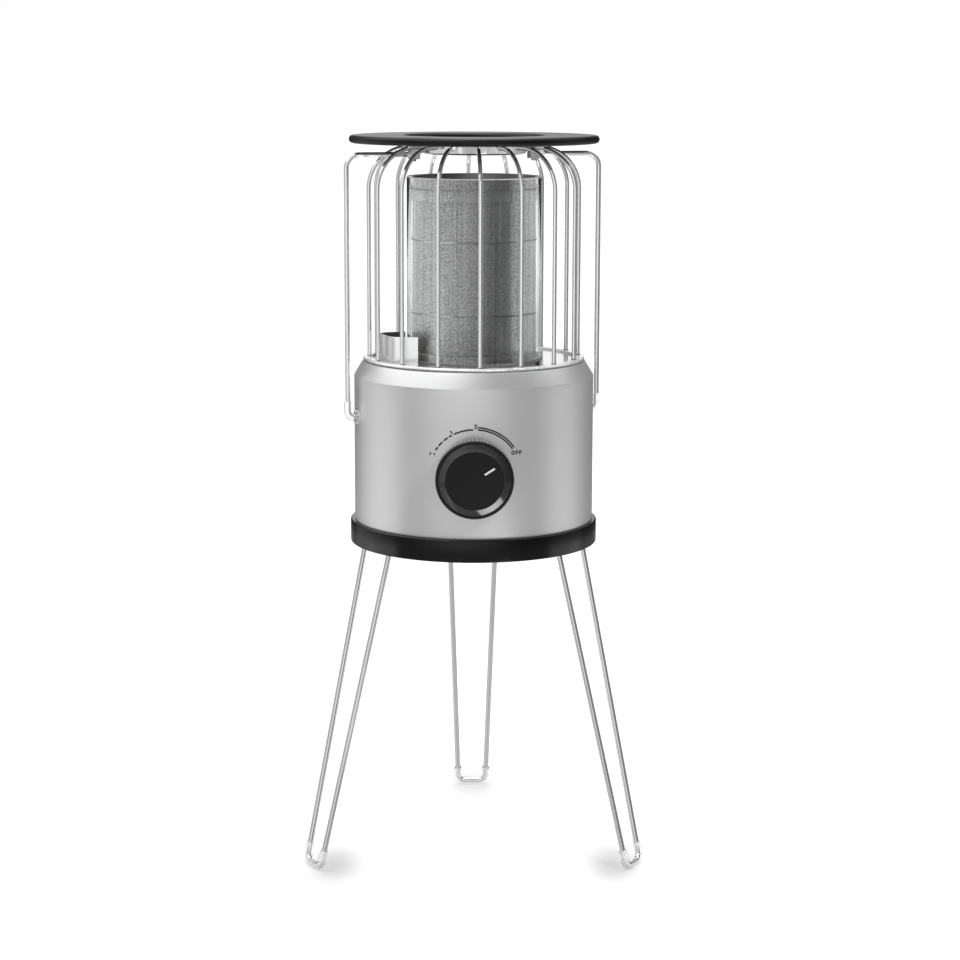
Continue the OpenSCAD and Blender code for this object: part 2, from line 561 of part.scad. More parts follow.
module knob_face() color([0.13, 0.13, 0.13]) at_axis() difference() {
  on_knob_axis() translate([0, 0, 122.3]) cylinder(r = 23.3, h = 0.9, $fn = 120);
  on_knob_axis() rotate([0, 0, off_angle]) pointer_shape(0, 0.05);
}
module pointer_shape(dz, g) {
  translate([9.3 + 0.8, -0.8 - g, 122.3 + 0.3]) cube([8.1, 1.6 + 2 * g, 2]);
  translate([10.1, 0, 122.6]) cylinder(r = 0.8 + g, h = 2, $fn = 24);
  translate([18.2, 0, 122.6]) cylinder(r = 0.8 + g, h = 2, $fn = 24);
}
module knob_pointer() color([0.95, 0.95, 0.95]) at_axis() intersection() {
  on_knob_axis() rotate([0, 0, off_angle]) pointer_shape(0, 0);
  on_knob_axis() translate([0, 0, 120]) cylinder(r = 30, h = 3.35, $fn = 48);
}

// ---------- gas pipes and inlet ----------

module supply_pipe() color([0.78, 0.5, 0.32]) at_axis() translate([0, 0, 326])
  flat_wire([[0, 83], [0, 52], [36, 52], [36, -57], [16, -57]], [0, 10, 10, 10, 0], 3);

module main_pipe() color([0.78, 0.5, 0.32]) at_axis() upright(90)
  flat_wire([[-57, 317], [-57, 284], [0, 284], [0, 289]], [0, 9, 4, 0], 3);

module inlet_fitting() color([0.82, 0.68, 0.35]) at_axis() translate([0, 0, 326]) rotate([-90, 0, 0]) difference() {
  union() {
    translate([0, 0, 80]) cylinder(r = 6.5, h = 13, $fn = 48);
    translate([0, 0, 92]) cylinder(r = 11.5, h = 5.9, $fn = 6);
    translate([0, 0, 97.9]) cylinder(r = 8.7, h = 7.6, $fn = 64);
    translate([0, 0, 105.5]) cylinder(r = 6.9, h = 1.6, $fn = 64);
    translate([0, 0, 107.1]) cylinder(r = 7.9, h = 12.9, $fn = 64);
  }
  translate([0, 0, 79]) cylinder(r = 3.05, h = 10, $fn = 32);
  translate([0, 0, 85]) cylinder(r = 2.5, h = 40, $fn = 32);
  translate([0, 0, 117]) cylinder(r1 = 2.6, r2 = 5.6, h = 3.5, $fn = 32);
}

module inlet_locknut() color([0.8, 0.8, 0.82]) at_axis() translate([0, 0, 326]) rotate([-90, 0, 0]) difference() {
  union() {
    translate([0, 0, 100.05]) cylinder(r = 12.2, h = 1.2, $fn = 64);
    translate([0, 0, 101.25]) cylinder(r = 11.8, h = 4.2, $fn = 6);
  }
  translate([0, 0, 99]) cylinder(r = 8.75, h = 10, $fn = 64);
}

// ---------- tip-over switch ----------

module tip_switch_case() color([0.85, 0.85, 0.82]) at_axis() difference() {
  union() {
    translate([38, 12, 269.2]) cube([30, 18, 30]);
    translate([34, 12, 269.2]) cube([38, 18, 2]);
  }
  translate([40, 14, 271.2]) cube([26, 14, 26]);
  translate([53, 10, 292]) rotate([-90, 0, 0]) cylinder(r = 1.25, h = 22, $fn = 32);
}

module tip_switch_pendulum() color([0.6, 0.6, 0.62]) at_axis() union() {
  translate([53, 12.1, 292]) rotate([-90, 0, 0]) cylinder(r = 1.2, h = 17.8, $fn = 32);
  translate([53, 21, 277]) cylinder(r = 1.1, h = 15, $fn = 24);
  translate([53, 17, 277]) rotate([-90, 0, 0]) cylinder(r = 4, h = 8, $fn = 48);
}

// ---------- legs ----------

// Places a flat path in a leg's own plane: X across the leg, Y up along it.
module leg_plane(a) {
  around(a) translate([leg_r_top, 0, base_z0]) rotate([0, -leg_tilt, 0])
    rotate([90, 0, 90]) children();
}
leg_len = norm([leg_run, base_z0]) - sleeve_r / cos(leg_tilt);
foot_half = leg_half_foot + 0.1;
module leg(a) color([0.86, 0.87, 0.88]) at_axis() leg_plane(a)
  flat_wire([[-leg_half_top, socket_len - 0.4], [-leg_half_top, -3], [-foot_half, -leg_len],
             [foot_half, -leg_len], [leg_half_top, -3], [leg_half_top, socket_len - 0.4]],
            [0, 12, 7, 7, 12, 0], leg_d / 2);

module foot(a) color([0.93, 0.93, 0.92, 0.7]) at_axis() leg_plane(a) {
  k = (leg_half_top - foot_half) / (leg_len - 3);
  difference() {
    flat_wire([[-foot_half - 14 * k, -leg_len + 14], [-foot_half, -leg_len], [foot_half, -leg_len],
               [foot_half + 14 * k, -leg_len + 14]], [0, 7, 7, 0], sleeve_r);
    flat_wire([[-foot_half - 15 * k, -leg_len + 15], [-foot_half, -leg_len], [foot_half, -leg_len],
               [foot_half + 15 * k, -leg_len + 15]], [0, 7, 7, 0], leg_d / 2 + 0.05);
  }
}
module left_leg() { leg(leg_angles[0]); }
module right_leg() { leg(leg_angles[1]); }
module rear_leg() { leg(leg_angles[2]); }
module left_foot() { foot(leg_angles[0]); }
module right_foot() { foot(leg_angles[1]); }
module rear_foot() { foot(leg_angles[2]); }

base_ring();
base_pan();
base_pan_screws();
leg_sockets();
body_shell();
deck_plate();
cage_rim_hoop();
cage_wires();
cage_top_ring();
top_plate();
top_plate_screws();
deflector_dish();
carrying_wires();
carry_clips();
carry_clip_screws();
carry_sleeves();
carry_grommets();
glass_tube();
glass_gasket();
burner_mesh();
mesh_bands();
burner_cap();
distributor_tube();
burner_base();
mixing_tube();
main_jet();
jet_bracket();
pilot_shroud();
pilot_burner();
pilot_pipe();
spark_electrode();
ignition_lead();
thermocouple_tip();
thermocouple_lead();
heat_shield();
heat_shield_spacers();
valve_body();
valve_bracket();
valve_screws();
safety_magnet();
piezo_igniter();
gas_plug();
thrust_plate();
return_spring();
valve_stem();
knob_body();
knob_face();
knob_pointer();
supply_pipe();
main_pipe();
inlet_fitting();
inlet_locknut();
tip_switch_case();
tip_switch_pendulum();
left_leg();
right_leg();
rear_leg();
left_foot();
right_foot();
rear_foot();
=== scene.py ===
import math

import bmesh
import bpy
import numpy as np
from mathutils import Matrix, Quaternion, Vector


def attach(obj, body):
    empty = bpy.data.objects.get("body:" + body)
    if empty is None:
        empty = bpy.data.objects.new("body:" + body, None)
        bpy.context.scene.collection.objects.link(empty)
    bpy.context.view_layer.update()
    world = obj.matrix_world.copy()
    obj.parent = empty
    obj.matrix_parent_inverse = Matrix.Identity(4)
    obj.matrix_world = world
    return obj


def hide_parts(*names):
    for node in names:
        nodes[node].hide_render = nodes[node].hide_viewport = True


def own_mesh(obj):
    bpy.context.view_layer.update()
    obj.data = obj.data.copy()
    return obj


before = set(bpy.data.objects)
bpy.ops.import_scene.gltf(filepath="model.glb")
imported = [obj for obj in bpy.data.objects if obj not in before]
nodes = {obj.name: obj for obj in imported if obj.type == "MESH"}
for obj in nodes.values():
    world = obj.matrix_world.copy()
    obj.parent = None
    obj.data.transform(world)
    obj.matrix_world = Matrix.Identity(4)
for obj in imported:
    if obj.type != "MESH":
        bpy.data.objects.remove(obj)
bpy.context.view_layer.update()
scene = bpy.context.scene

MM = 0.001
AXIS_Y = -16.9  # the drum's axis, mm
KNOB_Z = 334.8
DECK_Z = 418.1
TAU = 2 * math.pi


# ------------------------------------------------------------------ camera
def make_camera():
    data = bpy.data.cameras.new("camera")
    data.sensor_fit = "HORIZONTAL"
    data.sensor_width = 36.0
    data.lens = 88.34
    data.clip_start, data.clip_end = 0.05, 200
    cam = bpy.data.objects.new("camera", data)
    scene.collection.objects.link(cam)
    pitch, turn = math.radians(10.0185), math.radians(0.58)
    ahead = Vector((math.cos(pitch) * math.sin(turn), math.cos(pitch) * math.cos(turn), -math.sin(pitch)))
    cam.location = (-0.014383, -1.97510, 0.6601)
    cam.rotation_mode = "QUATERNION"
    cam.rotation_quaternion = Quaternion(ahead, math.radians(-0.14)) @ ahead.to_track_quat("-Z", "Y")
    scene.camera = cam


make_camera()


# ------------------------------------------------------------------ mesh helpers (mm about the drum's axis)
def fillet(points, radii, n=6, closed=True):
    """Rounds the corners of a flat outline. radii: one number per point, 0 keeps the corner."""
    out = []
    count = len(points)
    for i, (p, r) in enumerate(zip(points, radii)):
        p = np.array(p, float)
        if r <= 0 or (not closed and i in (0, count - 1)):
            out.append(tuple(p))
            continue
        a, b = np.array(points[i - 1], float), np.array(points[(i + 1) % count], float)
        u, w = (a - p) / np.linalg.norm(a - p), (b - p) / np.linalg.norm(b - p)
        half = math.acos(max(-1, min(1, float(u @ w)))) / 2
        d = r / math.tan(half)
        c = p + (u + w) / np.linalg.norm(u + w) * (r / math.sin(half))
        s, e = p + u * d - c, p + w * d - c
        sweep = math.pi - 2 * half
        axis_len = max(math.sin(sweep), 1e-9)
        for k in range(n + 1):
            t = k / n
            v = (math.sin((1 - t) * sweep) * s + math.sin(t * sweep) * e) / axis_len
            out.append(tuple(c + v))
    return out


def finish_mesh(name, verts, faces, mats, angle=32, face_mats=None, body="base", weld=0.0, recalc=True):
    me = bpy.data.meshes.new(name)
    me.from_pydata([(x * MM, (y + AXIS_Y) * MM, z * MM) for x, y, z in verts], [], faces)
    for m in mats if isinstance(mats, (list, tuple)) else [mats]:
        me.materials.append(m)
    if face_mats is not None:
        me.polygons.foreach_set("material_index", face_mats)
    bm = bmesh.new()
    bm.from_mesh(me)
    if weld:
        bmesh.ops.remove_doubles(bm, verts=bm.verts, dist=weld * MM)
    if recalc:
        bmesh.ops.recalc_face_normals(bm, faces=bm.faces)
    for f in bm.faces:
        f.smooth = True
    bm.to_mesh(me)
    bm.free()
    me.set_sharp_from_angle(angle=math.radians(angle))
    me.update()
    ob = bpy.data.objects.new(name, me)
    scene.collection.objects.link(ob)
    if body:
        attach(ob, body)
    return ob


def identity(x, y, z):
    return (x, y, z)


def knob_frame(x, y, w):
    """Local +Z runs along -Y through the knob's axis."""
    return (x, -w, KNOB_Z + y)


def inlet_frame(x, y, w):
    return (x, w, 326 - y)


def revolve(profile, segs=192, closed=True, xf=identity, verts=None, faces=None, start=0.0):
    """Turns a profile of (radius, height) points about the local Z axis."""
    verts = [] if verts is None else verts
    faces = [] if faces is None else faces
    rings = []
    for r, z in profile:
        if r < 1e-6:
            rings.append([len(verts)])
            verts.append(xf(0, 0, z))
        else:
            base = len(verts)
            rings.append(list(range(base, base + segs)))
            for k in range(segs):
                a = start + TAU * k / segs
                verts.append(xf(r * math.cos(a), r * math.sin(a), z))
    pairs = list(zip(rings, rings[1:] + rings[:1])) if closed else list(zip(rings, rings[1:]))
    for a, b in pairs:
        if len(a) == 1 and len(b) == 1:
            continue
        for k in range(segs):
            k2 = (k + 1) % segs
            if len(a) == 1:
                faces.append((a[0], b[k2], b[k]))
            elif len(b) == 1:
                faces.append((a[k], a[k2], b[0]))
            else:
                faces.append((a[k], a[k2], b[k2], b[k]))
    return verts, faces


def lathe(name, profile, mat, segs=192, body="base", xf=identity, angle=32, closed=True):
    v, f = revolve(profile, segs, closed, xf)
    return finish_mesh(name, v, f, mat, angle, body=body)


def path3(points, radii, step=7.0):
    """A polyline with filleted corners; each bend has a point every few degrees."""
    pts = [np.array(p, float) for p in points]
    out = [pts[0]]
    for i in range(1, len(pts) - 1):
        p, r = pts[i], radii[i]
        u, w = pts[i - 1] - p, pts[i + 1] - p
        u, w = u / np.linalg.norm(u), w / np.linalg.norm(w)
        if r <= 0:
            out.append(p)
            continue
        half = math.acos(max(-1, min(1, float(u @ w)))) / 2
        d = r / math.tan(half)
        c = p + (u + w) / np.linalg.norm(u + w) * (r / math.sin(half))
        s, e = p + u * d - c, p + w * d - c
        sweep = math.pi - 2 * half
        n = max(2, int(math.degrees(sweep) / step))
        for k in range(n + 1):
            t = k / n
            out.append(c + (math.sin((1 - t) * sweep) * s + math.sin(t * sweep) * e) / math.sin(sweep))
    out.append(pts[-1])
    return out


def sweep(path, radius, sides, verts, faces, dome=0.0, inner=None):
    """Sweeps a circle along a path. dome: rounds the ends. inner: makes a sleeve with that bore."""
    path = [np.array(p, float) for p in path]
    tangents = []
    for i in range(len(path)):
        a, b = path[max(0, i - 1)], path[min(len(path) - 1, i + 1)]
        tangents.append((b - a) / np.linalg.norm(b - a))
    t = tangents[0]
    ref = np.array([0.0, 0.0, 1.0]) if abs(t[2]) < 0.9 else np.array([1.0, 0.0, 0.0])
    n = np.cross(t, ref)
    n /= np.linalg.norm(n)
    sections = []
    for p, t in zip(path, tangents):
        n = n - t * float(n @ t)
        n /= np.linalg.norm(n)
        sections.append((p, t, n.copy(), np.cross(t, n)))

    def ring(p, n, b, r):
        base = len(verts)
        for k in range(sides):
            a = TAU * k / sides
            verts.append(tuple(p + r * (math.cos(a) * n + math.sin(a) * b)))
        return list(range(base, base + sides))

    def ends(first, sign, r_out, r_in=None):
        p, t, n, b = sections[0] if first else sections[-1]
        rings = []
        if r_in is None:
            for k in (1, 2, 3):
                a = math.radians(90 * k / 4)
                rings.append(ring(p + sign * t * dome * math.sin(a), n, b, max(r_out * math.cos(a), 0.01) if dome else r_out * (1 - k / 4)))
        else:
            mid, half = (r_out + r_in) / 2, (r_out - r_in) / 2
            for k in range(1, 6):
                a = math.radians(180 * k / 6)
                rings.append(ring(p + sign * t * half * math.sin(a), n, b, mid + half * math.cos(a)))
        return rings

    rings = [ring(p, n, b, radius) for p, t, n, b in sections]
    if inner is None:
        head, tail = ends(True, -1, radius), ends(False, 1, radius)
        chain = head[::-1] + rings + tail
    else:
        core = [ring(p, n, b, inner) for p, t, n, b in sections]
        head, tail = ends(True, -1, radius, inner), ends(False, 1, radius, inner)
        chain = rings + tail + core[::-1] + head[::-1]
        chain.append(rings[0])
    for a, b in zip(chain, chain[1:]):
        for k in range(sides):
            k2 = (k + 1) % sides
            faces.append((a[k], a[k2], b[k2], b[k]))
    if inner is None:
        for r, flip in ((chain[0], True), (chain[-1], False)):
            faces.append(tuple(r[::-1] if flip else r))
    return verts, faces


def upright(angle, points):
    """Flat (radius, height) points stood up in the plane at that angle about Z."""
    a = math.radians(angle)
    return [(r * math.cos(a), r * math.sin(a), z) for r, z in points]


# ------------------------------------------------------------------ material helpers
class Mat:
    def __init__(self, name, **values):
        self.m = bpy.data.materials.new(name)
        self.m.use_nodes = True
        self.nt = self.m.node_tree
        self.nt.nodes.clear()
        self.out = self.nt.nodes.new("ShaderNodeOutputMaterial")
        self.b = self.nt.nodes.new("ShaderNodeBsdfPrincipled")
        self.link(self.b.outputs[0], self.out.inputs["Surface"])
        for k, v in values.items():
            self.set(k.replace("_", " "), v)
        self.coord = self.nt.nodes.new("ShaderNodeTexCoord").outputs["Object"]

    def set(self, name, value):
        s = self.b.inputs[name]
        s.default_value = (*value, 1) if isinstance(value, tuple) and len(value) == 3 and name != "Normal" else value

    def link(self, a, b):
        self.nt.links.new(a, b)

    def node(self, kind, **inputs):
        n = self.nt.nodes.new(kind)
        for k, v in inputs.items():
            n.inputs[k.replace("_", " ")].default_value = v
        return n

    def stretched(self, sx, sy, sz):
        n = self.nt.nodes.new("ShaderNodeVectorMath")
        n.operation = "MULTIPLY"
        self.link(self.coord, n.inputs[0])
        n.inputs[1].default_value = (sx, sy, sz)
        return n.outputs[0]

    def noise(self, scale, detail=3.0, rough=0.55, vec=None):
        n = self.node("ShaderNodeTexNoise", Scale=scale, Detail=detail, Roughness=rough)
        self.link(vec if vec is not None else self.coord, n.inputs["Vector"])
        return n.outputs["Fac"]

    def math(self, op, a, b=None, c=None, clamp=False):
        n = self.nt.nodes.new("ShaderNodeMath")
        n.operation = op
        n.use_clamp = clamp
        for i, v in enumerate((a, b, c)):
            if v is None:
                continue
            if hasattr(v, "is_output"):
                self.link(v, n.inputs[i])
            else:
                n.inputs[i].default_value = v
        return n.outputs[0]

    def span(self, fac, lo, hi, from_lo=0.3, from_hi=0.7):
        n = self.nt.nodes.new("ShaderNodeMapRange")
        n.inputs["From Min"].default_value = from_lo
        n.inputs["From Max"].default_value = from_hi
        n.inputs["To Min"].default_value = lo
        n.inputs["To Max"].default_value = hi
        self.link(fac, n.inputs["Value"])
        return n.outputs["Result"]

    def ramp(self, fac, stops):
        n = self.nt.nodes.new("ShaderNodeValToRGB")
        e = n.color_ramp.elements
        while len(e) > 1:
            e.remove(e[-1])
        e[0].position, e[0].color = stops[0][0], (*stops[0][1], 1)
        for p, c in stops[1:]:
            e.new(p).color = (*c, 1)
        self.link(fac, n.inputs["Fac"])
        return n.outputs["Color"]

    def mix(self, fac, a, b, mode="MIX"):
        n = self.nt.nodes.new("ShaderNodeMix")
        n.data_type = "RGBA"
        n.blend_type = mode
        for s, v in ((n.inputs[0], fac), (n.inputs[6], a), (n.inputs[7], b)):
            if hasattr(v, "is_output"):
                self.link(v, s)
            else:
                s.default_value = (*v, 1) if isinstance(v, tuple) else v
        return n.outputs[2]

    def bump(self, height, strength, distance_mm, base=None):
        n = self.node("ShaderNodeBump", Strength=strength, Distance=distance_mm * MM)
        self.link(height, n.inputs["Height"])
        if base is not None:
            self.link(base, n.inputs["Normal"])
        return n.outputs["Normal"]

    def color(self, sock):
        self.link(sock, self.b.inputs["Base Color"])
        return self

    def rough(self, sock):
        self.link(sock, self.b.inputs["Roughness"])
        return self

    def normal(self, sock):
        self.link(sock, self.b.inputs["Normal"])
        return self


def grey(v, tint=0.0):
    return (v * (1 - tint), v, v * (1 + tint))


def simple(name, lo, hi, rough, scale=900, bump=0.1, bump_mm=0.02, big=12, spread=0.25, **values):
    """A finish with fine grain, slow colour change and matching gloss change."""
    m = Mat(name, **values)
    fine, slow = m.noise(scale, 4), m.noise(big, 3)
    f = m.math("ADD", m.math("MULTIPLY", fine, 0.45), m.math("MULTIPLY", slow, 0.55))
    m.color(m.ramp(f, [(0.5 - spread, lo), (0.5 + spread, hi)]))
    m.rough(m.span(f, rough[0], rough[1]))
    m.normal(m.bump(fine, bump, bump_mm))
    return m


# ------------------------------------------------------------------ materials
def silver_material():
    m = Mat("satin_silver", Metallic=0.68, Specular_IOR_Level=0.5)
    flake, slow = m.noise(3200, 2, 0.6), m.noise(7, 2)
    f = m.math("ADD", m.math("MULTIPLY", flake, 0.6), m.math("MULTIPLY", slow, 0.4))
    m.color(m.ramp(f, [(0.3, grey(0.57, 0.003)), (0.7, grey(0.63, 0.002))]))
    m.rough(m.span(f, 0.32, 0.38))
    m.normal(m.bump(flake, 0.06, 0.02))
    return m.m


def plate_material():
    m = Mat("black_enamel_plate", Specular_IOR_Level=0.24)
    peel, fine, slow = m.noise(420, 2), m.noise(2600, 3), m.noise(14, 3)
    f = m.math("ADD", m.math("MULTIPLY", fine, 0.4), m.math("MULTIPLY", slow, 0.6))
    m.color(m.ramp(f, [(0.3, grey(0.0030)), (0.7, grey(0.0055))]))
    m.rough(m.span(f, 0.30, 0.40))
    m.normal(m.bump(peel, 0.10, 0.05, m.bump(fine, 0.08, 0.015)))
    return m.m


def base_material():
    m = Mat("black_moulded_base", Specular_IOR_Level=0.26)
    grain, slow = m.noise(1500, 3), m.noise(11, 3)
    f = m.math("ADD", m.math("MULTIPLY", grain, 0.5), m.math("MULTIPLY", slow, 0.5))
    m.color(m.ramp(f, [(0.3, grey(0.0028)), (0.7, grey(0.0046))]))
    m.rough(m.span(f, 0.14, 0.20))
    m.normal(m.bump(grain, 0.14, 0.03))
    return m.m


def polished_material(name, lo, hi, rough, lines=True):
    m = Mat(name, Metallic=1.0)
    slow = m.noise(16, 3)
    fine = m.noise(1, 3, 0.6, m.stretched(300, 300, 5200)) if lines else m.noise(2200, 3)
    f = m.math("ADD", m.math("MULTIPLY", fine, 0.5), m.math("MULTIPLY", slow, 0.5))
    m.color(m.ramp(f, [(0.25, lo), (0.75, hi)]))
    m.rough(m.span(f, rough[0], rough[1]))
    m.normal(m.bump(fine, 0.05, 0.01))
    return m.m


def chrome_material(name="chrome_wire", level=1.0):
    m = Mat(name, Metallic=0.88)
    draw = m.noise(1, 3, 0.6, m.stretched(2400, 2400, 160))
    slow = m.noise(35, 3)
    f = m.math("ADD", m.math("MULTIPLY", draw, 0.4), m.math("MULTIPLY", slow, 0.6))
    m.color(m.ramp(f, [(0.25, grey(0.86 * level, 0.006)), (0.75, grey(0.96 * level, 0.004))]))
    m.rough(m.span(f, 0.10, 0.18))
    m.normal(m.bump(draw, 0.05, 0.01))
    return m.m


def mesh_material():
    """Plain woven wire: 306 wires round, rows of the same pitch, dark gaps between; the gaps are painted shade of the
    burner's inside, and the tube carries painted shade and painted highlight by angle round it.
    """
    m = Mat("woven_wire_mesh", Metallic=0.92)
    sep = m.nt.nodes.new("ShaderNodeSeparateXYZ")
    m.link(m.coord, sep.inputs[0])
    y = m.math("SUBTRACT", sep.outputs["Y"], AXIS_Y * MM)
    turn = m.math("ARCTAN2", sep.outputs["X"], m.math("MULTIPLY", y, -1.0))
    u = m.math("MULTIPLY", turn, 306 / TAU)
    v = m.math("DIVIDE", sep.outputs["Z"], TAU * 0.0514 / 306)
    iu, iv = m.math("FLOOR", u), m.math("FLOOR", v)

    def hump(c, w):
        d = m.math("ABSOLUTE", m.math("SUBTRACT", m.math("FRACT", c), 0.5))
        q = m.math("DIVIDE", d, w / 2)
        return m.math("SUBTRACT", 1.0, m.math("MULTIPLY", q, q), clamp=True)

    a, b = hump(u, 0.70), hump(v, 0.70)
    over = m.math("SINE", m.math("MULTIPLY", m.math("ADD", v, iu), math.pi))
    under = m.math("SINE", m.math("MULTIPLY", m.math("ADD", u, iv), math.pi))
    ha = m.math("MULTIPLY", a, m.math("MULTIPLY_ADD", over, 0.38, 0.62))
    hb = m.math("MULTIPLY", b, m.math("MULTIPLY_ADD", under, -0.38, 0.62))
    h = m.math("MAXIMUM", ha, hb)
    streak = m.noise(1, 4, 0.7, m.stretched(460, 460, 5))
    speck = m.noise(1, 2, 0.6, m.stretched(1080, 1080, 760))
    tone = m.math("MULTIPLY", m.span(streak, 0.70, 1.24, 0.32, 0.68), m.span(speck, 0.46, 1.58, 0.34, 0.66))
    # painted shade and painted highlight by angle round the tube, standing in for reflections: darkest on the side that
    # faces ahead and a little right, lighter than the wires' own colour ahead and to the left
    painted_light_and_shade = m.ramp(m.math("MULTIPLY_ADD", turn, 1 / TAU, 0.5), [(a / 360 + 0.5, (v, v, v)) for a, v in (
        (-180, 0.85), (-90, 1.0), (-46, 1.2), (-34, 1.2), (-30, 0.84), (-22, 0.64), (-16, 0.58), (-11, 0.44), (-2, 0.36), (5, 0.32), (9, 0.18),
        (14, 0.13), (28, 0.16), (33, 0.22), (36, 0.50), (48, 0.80), (64, 1.0), (90, 1.0), (180, 0.85))])
    tone = m.math("MULTIPLY", tone, painted_light_and_shade)
    # painted shade: the gaps between the wires are painted near-black, standing in for the shaded inside of the burner
    # seen through the holes
    shade = m.math("MINIMUM", m.math("MULTIPLY", m.span(h, 0.05, 0.74, 0.0, 0.75), tone), 0.92)
    col = m.nt.nodes.new("ShaderNodeCombineColor")
    m.link(shade, col.inputs[0])
    m.link(shade, col.inputs[1])
    m.link(m.math("MULTIPLY", shade, 1.005), col.inputs[2])
    m.color(col.outputs[0])
    m.rough(m.span(speck, 0.30, 0.42))
    m.normal(m.bump(h, 0.40, 0.17))
    return m.m


def seam_material():
    """Thin joint ridges round the mesh, with painted shade and painted highlight by angle round the tube as on the
    mesh: lighter ahead and to the left, darkest ahead and to the right.
    """
    m = Mat("seam_metal", Metallic=0.95)
    sep = m.nt.nodes.new("ShaderNodeSeparateXYZ")
    m.link(m.coord, sep.inputs[0])
    y = m.math("SUBTRACT", sep.outputs["Y"], AXIS_Y * MM)
    turn = m.math("ARCTAN2", sep.outputs["X"], m.math("MULTIPLY", y, -1.0))
    # painted shade and painted highlight by angle round the tube, matching the mesh; the wear noise below is real wear
    painted_light_and_shade = m.ramp(m.math("MULTIPLY_ADD", turn, 1 / TAU, 0.5), [(a / 360 + 0.5, (v, v, v)) for a, v in (
        (-180, 0.40), (-90, 0.30), (-56, 0.24), (-50, 0.80), (-22, 0.72), (-15, 0.16), (0, 0.10), (10, 0.06), (34, 0.06), (44, 0.20), (90, 0.36), (180, 0.40))])
    wear = m.noise(1, 3, 0.6, m.stretched(260, 260, 90))
    m.color(m.mix(1.0, painted_light_and_shade, m.span(wear, 0.55, 1.15), "MULTIPLY"))
    m.rough(m.span(wear, 0.40, 0.26))
    m.normal(m.bump(wear, 0.1, 0.03))
    return m.m


def glass_material():
    """Clear heat-proof glass that lets lamps light what stands behind it."""
    m = Mat("clear_heatproof_glass", Transmission_Weight=1.0, IOR=1.47, Specular_IOR_Level=0.5)
    slow = m.noise(30, 2)
    m.color(m.ramp(slow, [(0.3, (0.965, 0.972, 0.972)), (0.7, (0.985, 0.99, 0.99))]))
    m.rough(m.span(slow, 0.0, 0.012))
    clear = m.nt.nodes.new("ShaderNodeBsdfTransparent")
    clear.inputs[0].default_value = (0.97, 0.975, 0.975, 1)
    mixer = m.nt.nodes.new("ShaderNodeMixShader")
    path = m.nt.nodes.new("ShaderNodeLightPath")
    m.link(path.outputs["Is Shadow Ray"], mixer.inputs[0])
    m.link(m.b.outputs[0], mixer.inputs[1])
    m.link(clear.outputs[0], mixer.inputs[2])
    m.link(mixer.outputs[0], m.out.inputs["Surface"])
    return m.m


def silicone_material():
    m = Mat("milky_silicone", Transmission_Weight=0.94, IOR=1.18)
    cloud, fine = m.noise(260, 3), m.noise(2400, 2)
    m.color(m.ramp(cloud, [(0.3, (0.955, 0.96, 0.955)), (0.7, (0.985, 0.985, 0.98))]))
    m.rough(m.span(cloud, 0.03, 0.08))
    m.normal(m.bump(fine, 0.08, 0.02))
    return m.m


def knob_gloss_material():
    m = Mat("knob_polished_bevel", Specular_IOR_Level=0.50, Coat_Weight=0.45, Coat_Roughness=0.05)
    slow, fine = m.noise(40, 2), m.noise(2500, 2)
    m.color(m.ramp(slow, [(0.3, grey(0.012)), (0.7, grey(0.016))]))
    m.rough(m.span(slow, 0.09, 0.13))
    m.normal(m.bump(fine, 0.02, 0.01))
    return m.m


def wire_enamel(name, lo, hi, rough):
    return simple(name, lo, hi, rough, scale=1800, bump=0.06, bump_mm=0.01).m


